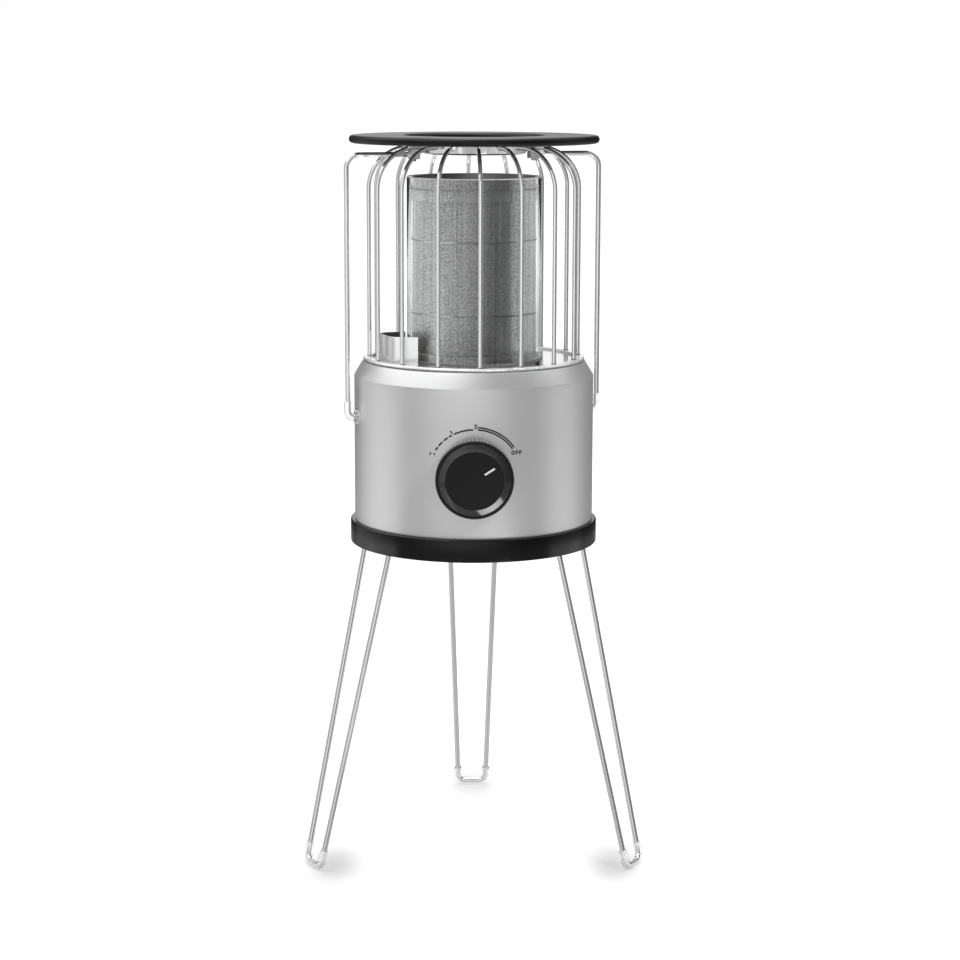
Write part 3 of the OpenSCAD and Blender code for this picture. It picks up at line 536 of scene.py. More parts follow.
MATS = {
    "silver_shell": silver_material(),
    "black_plate": plate_material(),
    "black_base": base_material(),
    "polished_steel": polished_material("polished_steel", grey(0.80), grey(0.90), (0.10, 0.20)),
    "chrome_wire": chrome_material(),
    "leg_wire": chrome_material("leg_wire_plating", 0.78),
    "zinc_steel": simple("zinc_plate", grey(0.50, 0.01), grey(0.68, 0.01), (0.28, 0.42), scale=260, big=45, bump=0.12, Metallic=1.0).m,
    "screws": simple("screw_steel", grey(0.38), grey(0.62), (0.22, 0.36), scale=1800, big=160, Metallic=1.0).m,
    "glass": glass_material(),
    "gasket": simple("graphite_gasket", grey(0.12), grey(0.19), (0.8, 0.92), scale=1400, bump=0.6, bump_mm=0.12).m,
    "ground_glass": simple("ground_glass_edge", grey(0.93, 0.004), grey(0.98, 0.002), (0.38, 0.48), scale=1900, bump=0.15, bump_mm=0.02, Transmission_Weight=0.15, IOR=1.47).m,
    "sooty_steel": simple("heat_blackened_steel", (0.018, 0.017, 0.016), (0.040, 0.037, 0.034), (0.45, 0.6), scale=700, big=90, bump=0.3, bump_mm=0.05).m,
    "bright_clip": simple("nickel_clip", grey(0.70), grey(0.86), (0.16, 0.30), scale=900, big=120, bump=0.1, Metallic=1.0).m,
    "mesh": mesh_material(),
    "seam_metal": seam_material(),
    "burner_metal": simple("heat_dulled_steel", (0.30, 0.29, 0.28), (0.46, 0.45, 0.45), (0.32, 0.46), scale=900, big=40, Metallic=0.95).m,
    "cast_alloy": simple("cast_alloy", grey(0.34), grey(0.50), (0.42, 0.58), scale=700, bump=0.45, bump_mm=0.10, Metallic=0.85).m,
    "brass": simple("turned_brass", (0.62, 0.43, 0.17), (0.80, 0.60, 0.29), (0.20, 0.34), scale=1500, big=60, Metallic=1.0).m,
    "copper_pipe": simple("copper_tube", (0.60, 0.30, 0.18), (0.78, 0.45, 0.30), (0.20, 0.36), scale=900, big=50, Metallic=1.0).m,
    "ceramic": simple("glazed_ceramic", (0.80, 0.78, 0.73), (0.90, 0.88, 0.84), (0.18, 0.30), scale=900, bump=0.1).m,
    "red_lead": simple("red_lead_insulation", (0.42, 0.035, 0.025), (0.55, 0.06, 0.04), (0.38, 0.5), scale=1200).m,
    "black_plastic": simple("black_plastic", grey(0.012), grey(0.022), (0.36, 0.5), scale=1500, bump=0.2).m,
    "knob_black": simple("knob_black", grey(0.0035), grey(0.0055), (0.30, 0.40), scale=1800, bump=0.10, bump_mm=0.015, Specular_IOR_Level=0.22).m,
    "knob_gloss": knob_gloss_material(),
    "knob_skirt": simple("knob_skirt", grey(0.15), grey(0.20), (0.30, 0.42), scale=1500, bump=0.12, bump_mm=0.02).m,
    "knob_face": simple("knob_matt_face", grey(0.0065), grey(0.0080), (0.55, 0.68), scale=2600, bump=0.22, bump_mm=0.02, Specular_IOR_Level=0.14).m,
    "white_mark": simple("white_pointer", grey(0.46), grey(0.54), (0.38, 0.5), scale=1500).m,
    "print_black": simple("black_print", grey(0.006), grey(0.012), (0.45, 0.6), scale=2600, bump=0.05, bump_mm=0.01).m,
    "clear_silicone": silicone_material(),
    "rubber_black": simple("black_rubber", grey(0.018), grey(0.030), (0.6, 0.75), scale=1300, bump=0.3, bump_mm=0.05).m,
    "white_plastic": simple("white_plastic", grey(0.70), grey(0.80), (0.35, 0.48), scale=1400, bump=0.1).m,
    "hoop_plating": simple("hoop_plating", grey(0.84, 0.004), grey(0.92, 0.002), (0.22, 0.32), scale=1400, big=30, bump=0.06, bump_mm=0.01, Metallic=0.62).m,
    "cup_steel": simple("bright_cup_steel", grey(0.80, 0.004), grey(0.90, 0.002), (0.16, 0.26), scale=1100, big=60, bump=0.08, bump_mm=0.01, Metallic=0.70).m,
    # painted shadow: a dark finish for the thin ring that stands in for the shaded gap under the hoop
    "seat_ring": simple("painted_shadow_gap_ring", grey(0.10), grey(0.16), (0.5, 0.6), scale=900, bump=0.2, bump_mm=0.03).m,
    "weld": simple("weld_steel", (0.16, 0.155, 0.15), (0.42, 0.41, 0.40), (0.25, 0.4), scale=500, big=120, bump=0.3, bump_mm=0.1, Metallic=1.0).m,
}

for ob in nodes.values():
    for s in ob.material_slots:
        key = s.material.name.split(".")[0] if s.material else "zinc_steel"
        s.material = MATS.get(key, MATS["zinc_steel"])
for name, key in (("carry_clips", "bright_clip"), ("carry_grommets", "clear_silicone"), ("burner_base", "sooty_steel")):
    for s in nodes[name].material_slots:
        s.material = MATS[key]


# ------------------------------------------------------------------ drum
def cutter(name, radius, height, where, direction):
    """A cylinder used to cut a hole, in metres."""
    v, f = revolve([(0, 0), (radius, 0), (radius, height), (0, height)], 64, closed=False)
    me = bpy.data.meshes.new(name)
    q = Vector((0, 0, 1)).rotation_difference(Vector(direction))
    me.from_pydata([(q @ Vector(p) + Vector(where)) * MM for p in v], [], f)
    bm = bmesh.new()
    bm.from_mesh(me)
    bmesh.ops.recalc_face_normals(bm, faces=bm.faces)
    bm.to_mesh(me)
    bm.free()
    ob = bpy.data.objects.new(name, me)
    scene.collection.objects.link(ob)
    return ob


def cut(ob, cutters, angle=32):
    """Applies the holes to the mesh, then removes the cutters."""
    for c in cutters:
        md = ob.modifiers.new("hole", "BOOLEAN")
        md.operation, md.solver, md.object = "DIFFERENCE", "EXACT", c
    dg = bpy.context.evaluated_depsgraph_get()
    me = bpy.data.meshes.new_from_object(ob.evaluated_get(dg))
    ob.modifiers.clear()
    old = ob.data
    ob.data = me
    bpy.data.meshes.remove(old)
    me.polygons.foreach_set("use_smooth", [True] * len(me.polygons))
    me.set_sharp_from_angle(angle=math.radians(angle))
    for c in cutters:
        bpy.data.objects.remove(c)


CARRY_A = 2.92 + 11.25
SHELL_Z0 = 283.1
shell_line = fillet(
    [(100, SHELL_Z0), (100, 404.6), (92.6, 416.9), (84, 416.9), (84, 415.7), (91.9, 415.7), (98.8, 404.1), (98.8, SHELL_Z0)],
    [0.3, 1.3, 0.9, 0.2, 0.2, 0.5, 1.0, 0.3], 6)


def with_rings(line, step):
    """Splits the long upright runs of a profile so that a hole only disturbs the faces next to it."""
    out = []
    for p, q in zip(line, line[1:] + line[:1]):
        out.append(p)
        n = int(abs(q[1] - p[1]) / step)
        out += [(p[0] + (q[0] - p[0]) * k / n, p[1] + (q[1] - p[1]) * k / n) for k in range(1, n)] if n > 1 else []
    return out


shell = lathe("shell_skin", with_rings(shell_line, 4.0), MATS["silver_shell"], 256, angle=50)
holes = [cutter("c0", 8.5, 20, (0, AXIS_Y - 90, KNOB_Z), (0, -1, 0)),
         cutter("c1", 9.0, 14, (0, AXIS_Y + 94, 326), (0, 1, 0))]
for i, a in enumerate((CARRY_A, CARRY_A + 180)):
    c, s = math.cos(math.radians(a)), math.sin(math.radians(a))
    holes.append(cutter(f"c{i + 2}", 4.5, 14, (93 * c, AXIS_Y + 93 * s, 371.5), (c, s, 0)))
cut(shell, holes, 50)


def round_normals(ob, radius, z0, z1):
    """Gives the outer cylinder wall its exact normals, as the holes leave uneven faces."""
    me = ob.data
    normals = [Vector(n.vector) for n in me.corner_normals]
    for poly in me.polygons:
        out = Vector((poly.center.x, poly.center.y - AXIS_Y * MM, 0)).normalized()
        if poly.normal.dot(out) < 0.9:
            continue
        for li in poly.loop_indices:
            co = me.vertices[me.loops[li].vertex_index].co
            flat = Vector((co.x, co.y - AXIS_Y * MM, 0))
            if abs(flat.length - radius * MM) < 0.00006 and z0 * MM < co.z < z1 * MM:
                normals[li] = flat.normalized()
    me.normals_split_custom_set(normals)


round_normals(shell, 100, SHELL_Z0 + 0.5, 403.5)
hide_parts("body_shell")

verts, faces = revolve(fillet([(84.6, 418.1), (92.3, 418.1), (92.3, 420.2), (84.6, 420.0)], [0.3, 0.8, 1.0, 0.7], 6), 256)
kinds = [0] * len(faces)
# a thin dark ring under the hoop, a painted shadow standing in for the shaded gap between hoop and shoulder
revolve(fillet([(91.0, 417.0), (92.2, 417.0), (92.2, 418.2), (91.0, 418.2)], [0, 0.1, 0.1, 0], 2), 256, True, identity, verts, faces)
kinds += [1] * (len(faces) - len(kinds))
hoop = finish_mesh("deck_hoop", verts, faces, [MATS["hoop_plating"], MATS["seat_ring"]], 50, face_mats=kinds)
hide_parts("cage_rim_hoop")


# ------------------------------------------------------------------ top plate and dish
plate = lathe("plate_skin", fillet(
    [(0, 596.1), (103.2, 596.1), (103.2, 602.6), (57.5, 602.6), (56.2, 598.1), (0, 598.1)],
    [0, 3.1, 3.2, 3.4, 1.0, 0], 12), MATS["black_plate"], 288, closed=False, angle=60)
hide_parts("top_plate")

dish = lathe("dish_skin", fillet(
    [(0, 587.2), (42.3, 587.2), (44.9, 594.65), (46.2, 595.5), (58, 595.5), (58, 596.1), (45.4, 596.1), (41.8, 588), (0, 588)],
    [0, 2.6, 1.0, 0.6, 0.25, 0.2, 1.0, 2.0, 0], 6), MATS["polished_steel"], 192, closed=False, angle=50)
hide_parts("deflector_dish")


# ------------------------------------------------------------------ cage
verts, faces = [], []
feet_v, feet_f = [], []
for i in range(16):
    a = 2.92 + 22.5 * i
    line = path3(upright(a, [(87.1, 419.2), (87.1, 593), (46.7, 593)]), [0, 34.2, 0], 4.5)
    sweep(line, 1.75, 24, verts, faces)
    c, s = math.cos(math.radians(a)), math.sin(math.radians(a))

    def at(x, y, z, c=c, s=s):
        return (87.1 * c + x, 87.1 * s + y, z)

    revolve([(0, 419.6), (2.35, 419.6), (2.35, 419.95), (2.15, 420.2), (1.9, 420.5), (1.78, 420.9), (0, 420.9)],
            24, False, at, feet_v, feet_f)
cage = finish_mesh("cage_wires_drawn", verts, faces, MATS["chrome_wire"], 50)
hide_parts("cage_wires")
welds = finish_mesh("cage_foot_welds", feet_v, feet_f, MATS["weld"], 60)


# ------------------------------------------------------------------ carrying wires
verts, faces, sl_v, sl_f = [], [], [], []
for a in (CARRY_A, CARRY_A + 180):
    sweep(path3(upright(a, [(48, 587), (107.6, 587), (107.6, 371.5), (97.5, 371.5)]), [0, 11, 5, 0], 5), 2.1, 28, verts, faces, dome=0.8)
    sweep(path3(upright(a, [(107.6, 384.0), (107.6, 371.5), (102.7, 371.5)]), [0, 5, 0], 6), 3.1, 28, sl_v, sl_f, inner=2.14)
carry = finish_mesh("carrying_wires_drawn", verts, faces, MATS["chrome_wire"], 50)
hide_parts("carrying_wires")
carry_sleeves = finish_mesh("carry_sleeves_soft", sl_v, sl_f, MATS["clear_silicone"], 60)
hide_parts("carry_sleeves")


# ------------------------------------------------------------------ burner
glass_line = fillet([(54, 419.1), (55.8, 419.1), (55.8, 569), (54, 569)], [0.3, 0.3, 0.85, 0.85], 6)
verts, faces = revolve(glass_line, 256)
kinds = [1 if min(verts[i][2] for i in f) > 567.9 else 0 for f in faces]
glass = finish_mesh("glass_tube_clear", verts, faces, [MATS["glass"], MATS["ground_glass"]], 80, face_mats=kinds)
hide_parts("glass_tube")
MESH_R = 51.4
weave = lathe("mesh_tube_woven", fillet([(MESH_R - 0.8, 421.9), (MESH_R, 421.9), (MESH_R, 568.8), (MESH_R - 0.8, 568.8)], [0.1, 0.1, 0.3, 0.3], 3),
              MATS["mesh"], 256, angle=40)
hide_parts("burner_mesh")

verts, faces, kinds = [], [], []
for z0, z1, r, rr, kind in ((549.8, 559, 53.5, 0.35, 0), (516.9, 517.7, 52.3, 0.3, 1), (488.2, 489, 51.7, 0.25, 0), (457, 457.8, 52.3, 0.3, 1), (418.15, 425.2, 53.7, 0.35, 0)):
    revolve(fillet([(MESH_R - 0.1, z0), (r, z0), (r, z1), (MESH_R - 0.1, z1)], [0, rr, rr, 0], 4), 256, True, identity, verts, faces)
    kinds += [kind] * (len(faces) - len(kinds))
bands = finish_mesh("mesh_bands_rolled", verts, faces, [MATS["mesh"], MATS["seam_metal"]], 50, face_mats=kinds)
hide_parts("mesh_bands")

cap = lathe("burner_cap_pressed", fillet(
    [(0, 561.6), (50.45, 561.6), (50.45, 568.7), (49.7, 568.7), (49.7, 562.6), (0, 562.6)], [0, 1.2, 0.2, 0.2, 0.8, 0], 5),
    MATS["burner_metal"], 192, closed=False, angle=50)
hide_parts("burner_cap")


# ------------------------------------------------------------------ pilot shroud, a bent sheet open towards the burner
def shroud_outline(g, n=14):
    """The near wall leans out to face straight ahead, the far one runs towards the burner."""
    r, cx = 9 - g, -1.5
    near = [(cx + r * math.cos(math.radians(t)), -11 + r * math.sin(math.radians(t))) for t in (-180 + 72 * (1 - k / n) for k in range(n + 1))]
    ux, uy = math.sin(math.radians(108)), math.cos(math.radians(108))
    x0, y0 = near[0]
    pts = [(x0 + ux * 16.0, y0 + uy * 16.0), (x0 + ux * 8.0, y0 + uy * 8.0)] + near
    pts += [(cx + r * math.cos(math.radians(180 - 90 * k / n)), 11 + r * math.sin(math.radians(180 - 90 * k / n))) for k in range(n + 1)]
    return pts + [(5, 20 - g), (13.6, 20 - g)]


def make_shroud():
    turn = math.atan2(21, 64)
    ct, st = math.cos(turn), math.sin(turn)
    loops = [(0, 418.1), (0, 439.62), (0.08, 439.8), (0.26, 439.9), (0.54, 439.9), (0.72, 439.8), (0.8, 439.62), (0.8, 418.1)]
    v, f, kinds = [], [], []
    for g, z in loops:
        for x, y in shroud_outline(g):
            v.append((-64 + x * ct - y * st, -21 + x * st + y * ct, z))
    n, m = len(shroud_outline(0)), len(loops)
    for i in range(m):
        a, b = i * n, (i + 1) % m * n
        for k in range(n - 1):
            f.append((a + k, a + k + 1, b + k + 1, b + k))
            kinds.append(1 if i == 6 else 0)
    for k in (0, n - 1):
        f.append(tuple(i * n + k for i in range(m)))
        kinds.append(0)
    ob = finish_mesh("pilot_cup_bent", v, f, [MATS["cup_steel"], MATS["sooty_steel"]], 40, face_mats=kinds)
    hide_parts("pilot_shroud")


make_shroud()


# ------------------------------------------------------------------ knob
verts, faces, kinds = [], [], []


def add_part(profile, kind, segs=256, closed=False, xf=knob_frame):
    n = len(faces)
    revolve(profile, segs, closed, xf, verts, faces)
    kinds.extend([kind] * (len(faces) - n))


add_part([(0, 122.25), (23.35, 122.25), (23.35, 123.35)], 0)
add_part([(23.35, 123.35), (23.5, 123.5), (23.62, 123.47), (28.2, 121.55), (28.38, 121.46), (28.5, 121.3)], 1)
add_part(fillet([(28.5, 121.3), (28.7, 120.75), (31.3, 120.75), (31.3, 117.3), (29.7, 116.9), (29.7, 103.7), (28.6, 103.7), (28.6, 118.9), (7.5, 118.9), (7.5, 106), (0, 106)],
                [0, 0.15, 0.9, 0.3, 0.1, 0.1, 0.1, 0.3, 0.3, 0.3, 0], 5, closed=False), 0)
knob = finish_mesh("knob_turned", verts, faces, [MATS["knob_black"], MATS["knob_gloss"]], 30, face_mats=kinds, body="knob", weld=0.0005)
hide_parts("knob_body")

verts, faces = [], []
ribs, per = 64, 10
count = ribs * per
rows = [(103.62, 0.0), (104.1, 0.9), (104.6, 1.0), (110.5, 1.0), (116.2, 1.0), (116.7, 0.9), (117.1, 0.0)]
for w, k in rows:
    for j in range(count):
        a = TAU * j / count
        t = (j % per) / per
        rib = min(1.0, max(0.0, 1.6 * math.sin(math.pi * t) - 0.35)) ** 0.8
        r = 29.75 + k * (0.10 + 1.45 * rib)
        verts.append(knob_frame(r * math.cos(a), r * math.sin(a), w))
for i in range(len(rows) - 1):
    for j in range(count):
        j2 = (j + 1) % count
        faces.append((i * count + j, i * count + j2, (i + 1) * count + j2, (i + 1) * count + j))
n0 = len(verts)
for w in (103.62, 117.1):
    for j in range(count):
        a = TAU * j / count
        verts.append(knob_frame(29.6 * math.cos(a), 29.6 * math.sin(a), w))
last = (len(rows) - 1) * count
for j in range(count):
    j2 = (j + 1) % count
    faces.append((j, j2, n0 + j2, n0 + j))
    faces.append((last + j, last + j2, n0 + count + j2, n0 + count + j))
    faces.append((n0 + j, n0 + j2, n0 + count + j2, n0 + count + j))
skirt = finish_mesh("knob_skirt_ribs", verts, faces, MATS["knob_skirt"], 45, body="knob")

face = lathe("knob_face_disc", fillet([(0, 122.3), (23.28, 122.3), (23.28, 123.2), (0, 123.2)], [0, 0.1, 0.25, 0], 4), MATS["knob_face"], 192,
             body="knob", xf=knob_frame, closed=False, angle=50)
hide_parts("knob_face")


def pointer():
    ang = math.radians(32.5)
    outline = []
    for k in range(13):
        a = math.radians(90 + 180 * k / 12)
        outline.append((10.1 + 0.8 * math.cos(a), 0.8 * math.sin(a)))
    for k in range(13):
        a = math.radians(-90 + 180 * k / 12)
        outline.append((18.2 + 0.8 * math.cos(a), 0.8 * math.sin(a)))
    v, f, n = [], [], len(outline)
    cx = 14.15
    for w, inset in ((122.6, 0.0), (123.26, 0.0), (123.33, 0.05), (123.36, 0.12)):
        for x, y in outline:
            k = 1 - inset / 0.8
            ex = 10.1 if x < cx else 18.2
            lx, ly = ex + (x - ex) * k, y * k
            v.append(knob_frame(lx * math.cos(ang) - ly * math.sin(ang), lx * math.sin(ang) + ly * math.cos(ang), w))
    for i in range(3):
        for j in range(n):
            j2 = (j + 1) % n
            f.append((i * n + j, i * n + j2, (i + 1) * n + j2, (i + 1) * n + j))
    f.append(tuple(range(n)))
    f.append(tuple(range(3 * n, 4 * n)))
    ob = finish_mesh("knob_pointer_bar", v, f, MATS["white_mark"], 40, body="knob")
    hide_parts("knob_pointer")


pointer()


# ------------------------------------------------------------------ dial print, thin raised ink on the drum
class Ink:
    def __init__(self):
        self.v, self.f = [], []

    def add(self, pts, fs):
        n = len(self.v)
        self.v += pts
        self.f += [tuple(i + n for i in t) for t in fs]

    def stroke(self, pts, width, closed=False):
        pts = [np.array(p, float) for p in pts]
        n, h = len(pts), width / 2
        left, right = [], []
        for i, p in enumerate(pts):
            a = pts[(i - 1) % n] if closed or i else p
            b = pts[(i + 1) % n] if closed or i < n - 1 else p
            t = (b - a) / np.linalg.norm(b - a)
            side = np.array([-t[1], t[0]])
            left.append(tuple(p + side * h))
            right.append(tuple(p - side * h))
        v = left + right
        m = n if closed else n - 1
        f = [(i, (i + 1) % n, n + (i + 1) % n, n + i) for i in range(m)]
        if not closed:
            for i, sign in ((0, -1), (n - 1, 1)):
                a, b = (pts[0], pts[1]) if i == 0 else (pts[-2], pts[-1])
                t = (b - a) / np.linalg.norm(b - a) * sign
                side = np.array([-t[1], t[0]])
                arc = []
                for k in range(1, 6):
                    g = math.radians(90 - 36 * k + 18)
                    q = pts[i] + h * (math.cos(math.radians(90 - 30 * k)) * t + math.sin(math.radians(90 - 30 * k)) * side)
                    arc.append(tuple(q))
                start = i if sign > 0 else n + i
                end = n + i if sign > 0 else i
                base = len(v)
                v += arc
                f.append((start, *range(base, base + len(arc)), end))
        self.add(v, f)

    def blob(self, pts):
        self.add([tuple(p) for p in pts], [tuple(range(len(pts)))])

    def build(self, name):
        edges = {}
        for f in self.f:
            for i in range(len(f)):
                e = (f[i], f[(i + 1) % len(f)])
                edges.setdefault(tuple(sorted(e)), []).append(e)
        n = len(self.v)
        out = []
        for r in (100.07, 99.9):
            for s, z in self.v:
                a = s / 100
                out.append((r * math.sin(a), -r * math.cos(a), KNOB_Z + z))
        fs = list(self.f) + [tuple(i + n for i in f[::-1]) for f in self.f]
        for k, es in edges.items():
            if len(es) == 1:
                a, b = es[0]
                fs.append((b, a, a + n, b + n))
        return finish_mesh(name, out, fs, MATS["print_black"], 30, body="base")


def arc_pts(r, a0, a1, n=None):
    n = n or max(2, int(abs(a1 - a0) / 1.5))
    return [(r * math.cos(math.radians(a0 + (a1 - a0) * k / n)), r * math.sin(math.radians(a0 + (a1 - a0) * k / n))) for k in range(n + 1)]


ink = Ink()
R_IN, R_OUT = 37.65, 39.45
ink.stroke(arc_pts(R_IN, 115.4, 92.4), 1.3)
ink.stroke(arc_pts(R_IN, 85.4, 35.6), 1.25)
ink.stroke(arc_pts(R_OUT, 85.4, 35.6), 1.25)
for a, b in ((146.8, 143.3), (139.7, 134.3), (130.5, 125.8), (122.4, 119.9)):
    ink.stroke(arc_pts(R_IN, a, b, 4), 1.35)


def glyph(strokes, at, turn=0.0, width=0.92):
    c, s = math.cos(math.radians(turn)), math.sin(math.radians(turn))
    for pts, closed in strokes:
        ink.stroke([(at[0] + x * c - y * s, at[1] + x * s + y * c) for x, y in pts], width, closed)


def ring_pts(cx, cy, rx, ry, a0, a1, n):
    return [(cx + rx * math.cos(math.radians(a0 + (a1 - a0) * k / n)), cy + ry * math.sin(math.radians(a0 + (a1 - a0) * k / n))) for k in range(n + 1)]


two = ring_pts(0, 0.62, 0.82, 0.78, 165, -25, 14) + [(-0.85, -1.35), (0.92, -1.35)]
glyph([(two, False)], (0.8, 40.2))
one = [(-0.55, 0.8), (0.08, 1.4), (0.08, -1.35)]
glyph([(one, False)], (-18.75, 35.35), 27)
oval = ring_pts(0, 0, 1.18, 1.32, 0, 360, 28)[:-1]
eff = [([(-0.75, -1.35), (-0.75, 1.32), (0.85, 1.32)], False), ([(-0.75, 0.05), (0.62, 0.05)], False)]
glyph([(oval, True)], (31.6, 18.4))
glyph(eff, (34.95, 18.4))
glyph(eff, (37.85, 18.4))
ink.blob(ring_pts(-32.9, 17.2, 0.82, 0.82, 0, 360, 20)[:-1])
ink.blob([(-36.2 + x, 17.2 + y) for x, y in ((0.45, 1.9), (-1.15, -0.25), (-0.25, -0.25), (-0.60, -1.9), (1.05, 0.35), (0.15, 0.35), (0.95, 1.9))])
dial = ink.build("dial_print")


# ------------------------------------------------------------------ return spring, drawn at its rest length; the real one shortens as the knob goes in
coil = [knob_frame(6.9 * math.cos(TAU * 4.5 * k / 170), 6.9 * math.sin(TAU * 4.5 * k / 170), 75.9 + 8.8 * k / 170) for k in range(171)]
v, f = sweep(coil, 0.55, 12, [], [], dome=0.3)
spring = finish_mesh("return_spring_coil", v, f, MATS["screws"], 50)
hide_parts("return_spring")
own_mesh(spring)


# ------------------------------------------------------------------ base ring
verts, faces = revolve(fillet(
    [(80, 264.4), (103.6, 264.4), (103.6, 283), (98.5, 283), (98.5, 287), (93.4, 287), (93.4, 280), (98, 280), (98, 268), (80, 268)],
    [0.4, 0.9, 1.3, 0, 0.3, 0.3, 0.2, 1.0, 1.0, 0.4], 7), 256)
base = finish_mesh("base_ring_moulded", verts, faces, MATS["black_base"], 40)
TILT = math.atan2(62.05, 264.5)
holes = []
for a in (-150, -30, 90):
    for s in (-1, 1):
        ca, sa = math.cos(math.radians(a)), math.sin(math.radians(a))
        px, py = 92.35, s * 20.8
        ax = (-math.sin(TILT), 0, math.cos(TILT))
        w = (px * ca - py * sa, px * sa + py * ca)
        d = (ax[0] * ca, ax[0] * sa, ax[2])
        holes.append(cutter("h", 4.05, 34, (w[0] - d[0] * 6, w[1] - d[1] * 6 + AXIS_Y, 264.5 - d[2] * 6), d))
cut(base, holes, 40)
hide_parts("base_ring")


# ------------------------------------------------------------------ legs
LEG_LEN = math.hypot(62.05, 264.5) - 3.3 / math.cos(TILT)
for name, a in (("left", -150), ("right", -30), ("rear", 90)):
    ca, sa = math.cos(math.radians(a)), math.sin(math.radians(a))

    def in_leg(x, y):
        px, py, pz = 92.35 - y * math.sin(TILT), x, 264.5 + y * math.cos(TILT)
        return (px * ca - py * sa, px * sa + py * ca, pz)

    pts = [(-20.8, 31.6), (-20.8, -3), (-12.5, -LEG_LEN), (12.5, -LEG_LEN), (20.8, -3), (20.8, 31.6)]
    v, f = sweep(path3([in_leg(*p) for p in pts], [0, 12, 7, 7, 12, 0], 5), 2.2, 28, [], [], dome=0.8)
    leg = finish_mesh(name + "_leg_wire", v, f, MATS["leg_wire"], 50, body=name + "_leg")
    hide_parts(name + "_leg")
    k = 8.3 / (LEG_LEN - 3)
    pts = [(-12.5 - 13.5 * k, -LEG_LEN + 13.5), (-12.5, -LEG_LEN), (12.5, -LEG_LEN), (12.5 + 13.5 * k, -LEG_LEN + 13.5)]
    v, f = sweep(path3([in_leg(*p) for p in pts], [0, 7, 7, 0], 6), 3.3, 32, [], [], inner=2.24)
    sock = finish_mesh(name + "_foot_sleeve", v, f, MATS["clear_silicone"], 60, body=name + "_leg")
    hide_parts(name + "_foot")


# ------------------------------------------------------------------ gas inlet with its thread
verts, faces = revolve(fillet(
    [(2.5, 85), (6.5, 85), (6.5, 92), (10.5, 92), (10.5, 97.9), (8.7, 97.9), (8.7, 105.5), (6.9, 105.5), (6.9, 107.0), (7.25, 107.3)],
    [0, 0.3, 0.3, 0.3, 0.3, 0, 0.3, 0.2, 0, 0], 4, closed=False), 96, False, inlet_frame)
pitch, n_seg = 1.4, 96
w0, w1, steps = 107.3, 119.3, 96
base_i = len(verts)
for i in range(steps + 1):
    w = w0 + (w1 - w0) * i / steps
    fade = min(1.0, (w - w0) / 0.8, (w1 - w) / 0.8)
    for j in range(n_seg):
        a = TAU * j / n_seg
        t = (w / pitch - a / TAU) % 1.0
        tri = 1 - abs(2 * t - 1)
        crest = min(1.0, max(0.0, (tri - 0.1) / 0.75))
        r = 7.25 + 0.62 * crest * max(0.0, fade)
        verts.append(inlet_frame(r * math.cos(a), r * math.sin(a), w))
for i in range(steps):
    for j in range(n_seg):
        j2 = (j + 1) % n_seg
        faces.append((base_i + i * n_seg + j, base_i + i * n_seg + j2, base_i + (i + 1) * n_seg + j2, base_i + (i + 1) * n_seg + j))
revolve([(7.25, w1), (7.0, 119.95), (6.9, 120.0), (5.6, 120.0), (5.3, 119.8), (2.6, 117), (2.5, 116.8), (2.5, 85)], n_seg, False, inlet_frame, verts, faces)
inlet = finish_mesh("inlet_fitting_threaded", verts, faces, MATS["brass"], 35, weld=0.001)
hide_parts("inlet_fitting")


# ------------------------------------------------------------------ floor, world, lamps
def make_floor():
    v, f = [(0, 0, 0)], []
    radii = [0.1, 0.3, 0.6, 1, 2, 4, 8, 16, 40]
    segs = 48
    for r in radii:
        v += [(r * math.cos(TAU * k / segs), r * math.sin(TAU * k / segs), 0) for k in range(segs)]
    for k in range(segs):
        f.append((0, 1 + k, 1 + (k + 1) % segs))
    for i in range(len(radii) - 1):
        for k in range(segs):
            a, b = 1 + i * segs, 1 + (i + 1) * segs
            f.append((a + k, b + k, b + (k + 1) % segs, a + (k + 1) % segs))
    me = bpy.data.meshes.new("studio_floor")
    me.from_pydata(v, [], f)
    ob = bpy.data.objects.new("studio_floor", me)
    scene.collection.objects.link(ob)
    m = Mat("studio_floor", Roughness=0.9, Specular_IOR_Level=0.1)
    slow = m.noise(3, 3)
    sep = m.nt.nodes.new("ShaderNodeSeparateXYZ")
    m.link(m.coord, sep.inputs[0])
    shade = None
    # painted soft shadows round the three feet: the floor's colour and its glow are both dimmed there
    feet = []
    for a in (-150, -30, 90):
        feet.append((0.1535 * math.cos(math.radians(a)), 0.1535 * math.sin(math.radians(a)) + AXIS_Y * MM))
    for (fx, fy), (ox, oy, sx, sy, amount) in zip(feet, ((0.016, 0.004, 0.024, 0.050, 0.40), (-0.016, 0.004, 0.024, 0.050, 0.40), (0.0, 0.0, 0.026, 0.050, 0.30))):
        dx = m.math("DIVIDE", m.math("SUBTRACT", sep.outputs["X"], fx + ox), sx)
        dy = m.math("DIVIDE", m.math("SUBTRACT", sep.outputs["Y"], fy + oy), sy)
        d2 = m.math("ADD", m.math("MULTIPLY", dx, dx), m.math("MULTIPLY", dy, dy))
        g = m.math("MULTIPLY", m.math("EXPONENT", m.math("MULTIPLY", d2, -1.0)), amount)
        shade = g if shade is None else m.math("ADD", shade, g)
    lit = m.math("SUBTRACT", 1.0, shade)
    m.color(m.mix(1.0, m.ramp(slow, [(0.3, grey(0.215)), (0.7, grey(0.235))]), lit, "MULTIPLY"))
    m.set("Emission Color", (1.0, 1.0, 1.0))
    m.link(m.math("MULTIPLY", lit, 0.82), m.b.inputs["Emission Strength"])
    me.materials.append(m.m)
    ob.visible_glossy = False


make_floor()


